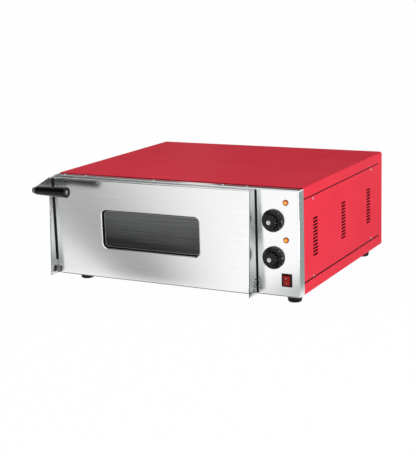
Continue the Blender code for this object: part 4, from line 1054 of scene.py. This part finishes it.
# the others: one corner, the opposite one, the width of the soft edge, the grey and the strength
flags = {"frontFlag": ((0.18, -1.75, 0.004), (0.72, -0.78, 0.004), 0.10, "#1E1E1E", 1.0),
         "nearFlag": ((0.12, -0.62, 0.004), (0.95, -0.20, 0.004), 0.20, "#B0B2B2", 1.0),
         "skirtFlag": ((-0.40, -0.31, 0.005), (0.40, -0.225, 0.005), 0.02, "#5A5C5C", 1.0),
         "rearLeftFlag": ((-3.6, 2.0, 0.0), (-1.10, 2.0, 2.2), 0.10, "#6A6E6E", 1.0),
         "rearFlag": ((-1.30, 2.01, 0.0), (0.7, 2.01, 2.2), 0.10, "#545E5E", 1.0),
         "rearCard": ((-1.24, 1.98, 0.62), (-1.03, 1.98, 0.92), 0.04, "#FFFFFF", 1.0),
         "upperFlag": ((-7.0, -5.0, 0.45), (-2.45, -5.0, 7.0), 0.15, "#3E4242", 1.0),
         "sideFlag": ((0.37, -0.20, 0.003), (1.8, 1.6, 0.003), 0.05, "#93A0A0", 1.0),
         "leftFlag": ((-3.6, -0.90, 0.003), (-0.75, 0.80, 0.003), 0.30, "#8E9898", 1.0),
         "rightFlag": ((0.80, -0.90, 0.002), (3.6, 0.10, 0.002), 0.30, "#8E9898", 1.0),
         "ceilingFlag": ((-9.0, -5.0, 5.0), (-2.6, 2.0, 5.0), 0.80, "#4A4E4E", 1.0),
         "glintCard": ((0.68, -0.80, 0.006), (1.30, -0.40, 0.006), 0.10, "#FFFFFF", 9.0)}


def fannedGrey(tree, point):  # the graded card's greys, by the angle from straight forward
    first, last = grading["stops"][0][0], grading["stops"][-1][0]
    centred = addNode(tree, "Mapping", {"Vector": point, "Location": -Vector(grading["centre"])})
    fan = addNode(tree, "TexGradient", {"Vector": centred}, gradient_type="RADIAL")
    level = addNode(tree, "MapRange", {"Value": fan.outputs["Fac"], "From Min": (90 - first) / 360,
                                       "From Max": (90 - last) / 360})
    return addNode(tree, "ValToRGB", {"Fac": level},
                   [((angle - first) / (last - first), grey) for angle, grey in grading["stops"]])


def addFlag(name, low, high, soft, grey, strength):  # with no grey it is the graded card
    made, tree = stageFinish(name)
    middle, half = (Vector(low) + Vector(high)) / 2, (Vector(high) - Vector(low)) / 2
    point = addNode(tree, "TexCoord", {}).outputs["Object"]
    apart = addNode(tree, "SeparateXYZ", {"Vector": point})
    shares = []
    for axis in range(3):
        if half[axis]:
            offset = addNode(tree, "Math", {0: apart.outputs[axis], 1: middle[axis]}, operation="SUBTRACT")
            away = addNode(tree, "Math", {0: offset}, operation="ABSOLUTE")
            shares.append(addNode(tree, "MapRange", {"Value": away, "From Min": half[axis] - soft,
                                                     "From Max": half[axis], "To Min": 1.0, "To Max": 0.0},
                                  interpolation_type="SMOOTHSTEP"))
    cover = addNode(tree, "Math", {0: shares[0], 1: shares[1]}, operation="MULTIPLY")
    shade = linear(grey) if grey else fannedGrey(tree, point)
    card = addNode(tree, "Emission", {"Color": shade, "Strength": strength})
    both = addNode(tree, "MixShader", {0: cover, 1: addNode(tree, "BsdfTransparent", {}), 2: card})
    setSockets(tree, tree.nodes["Material Output"], {"Surface": both})
    bm = bmesh.new()
    bmesh.ops.create_grid(bm, x_segments=1, y_segments=1, size=1.0, matrix=frontView if half.z else Matrix())
    bmesh.ops.scale(bm, vec=[h or 1.0 for h in half], verts=bm.verts)
    bmesh.ops.translate(bm, vec=middle, verts=bm.verts)
    panel = meshObject(name, bm, made)
    for ray in ("camera", "diffuse", "shadow", "transmission", "volume_scatter"):
        setattr(panel, "visible_" + ray, False)


addFloor()
addWorld()
for name, softbox in studio["softboxes"].items():
    addSoftbox(name, **softbox)
addFlag("gradedCard", grading["low"], grading["high"], grading["soft"], None, grading["strength"])
for name, flag in flags.items():
    addFlag(name, *flag)
scene.view_settings.view_transform = "Standard"
print("studio set")
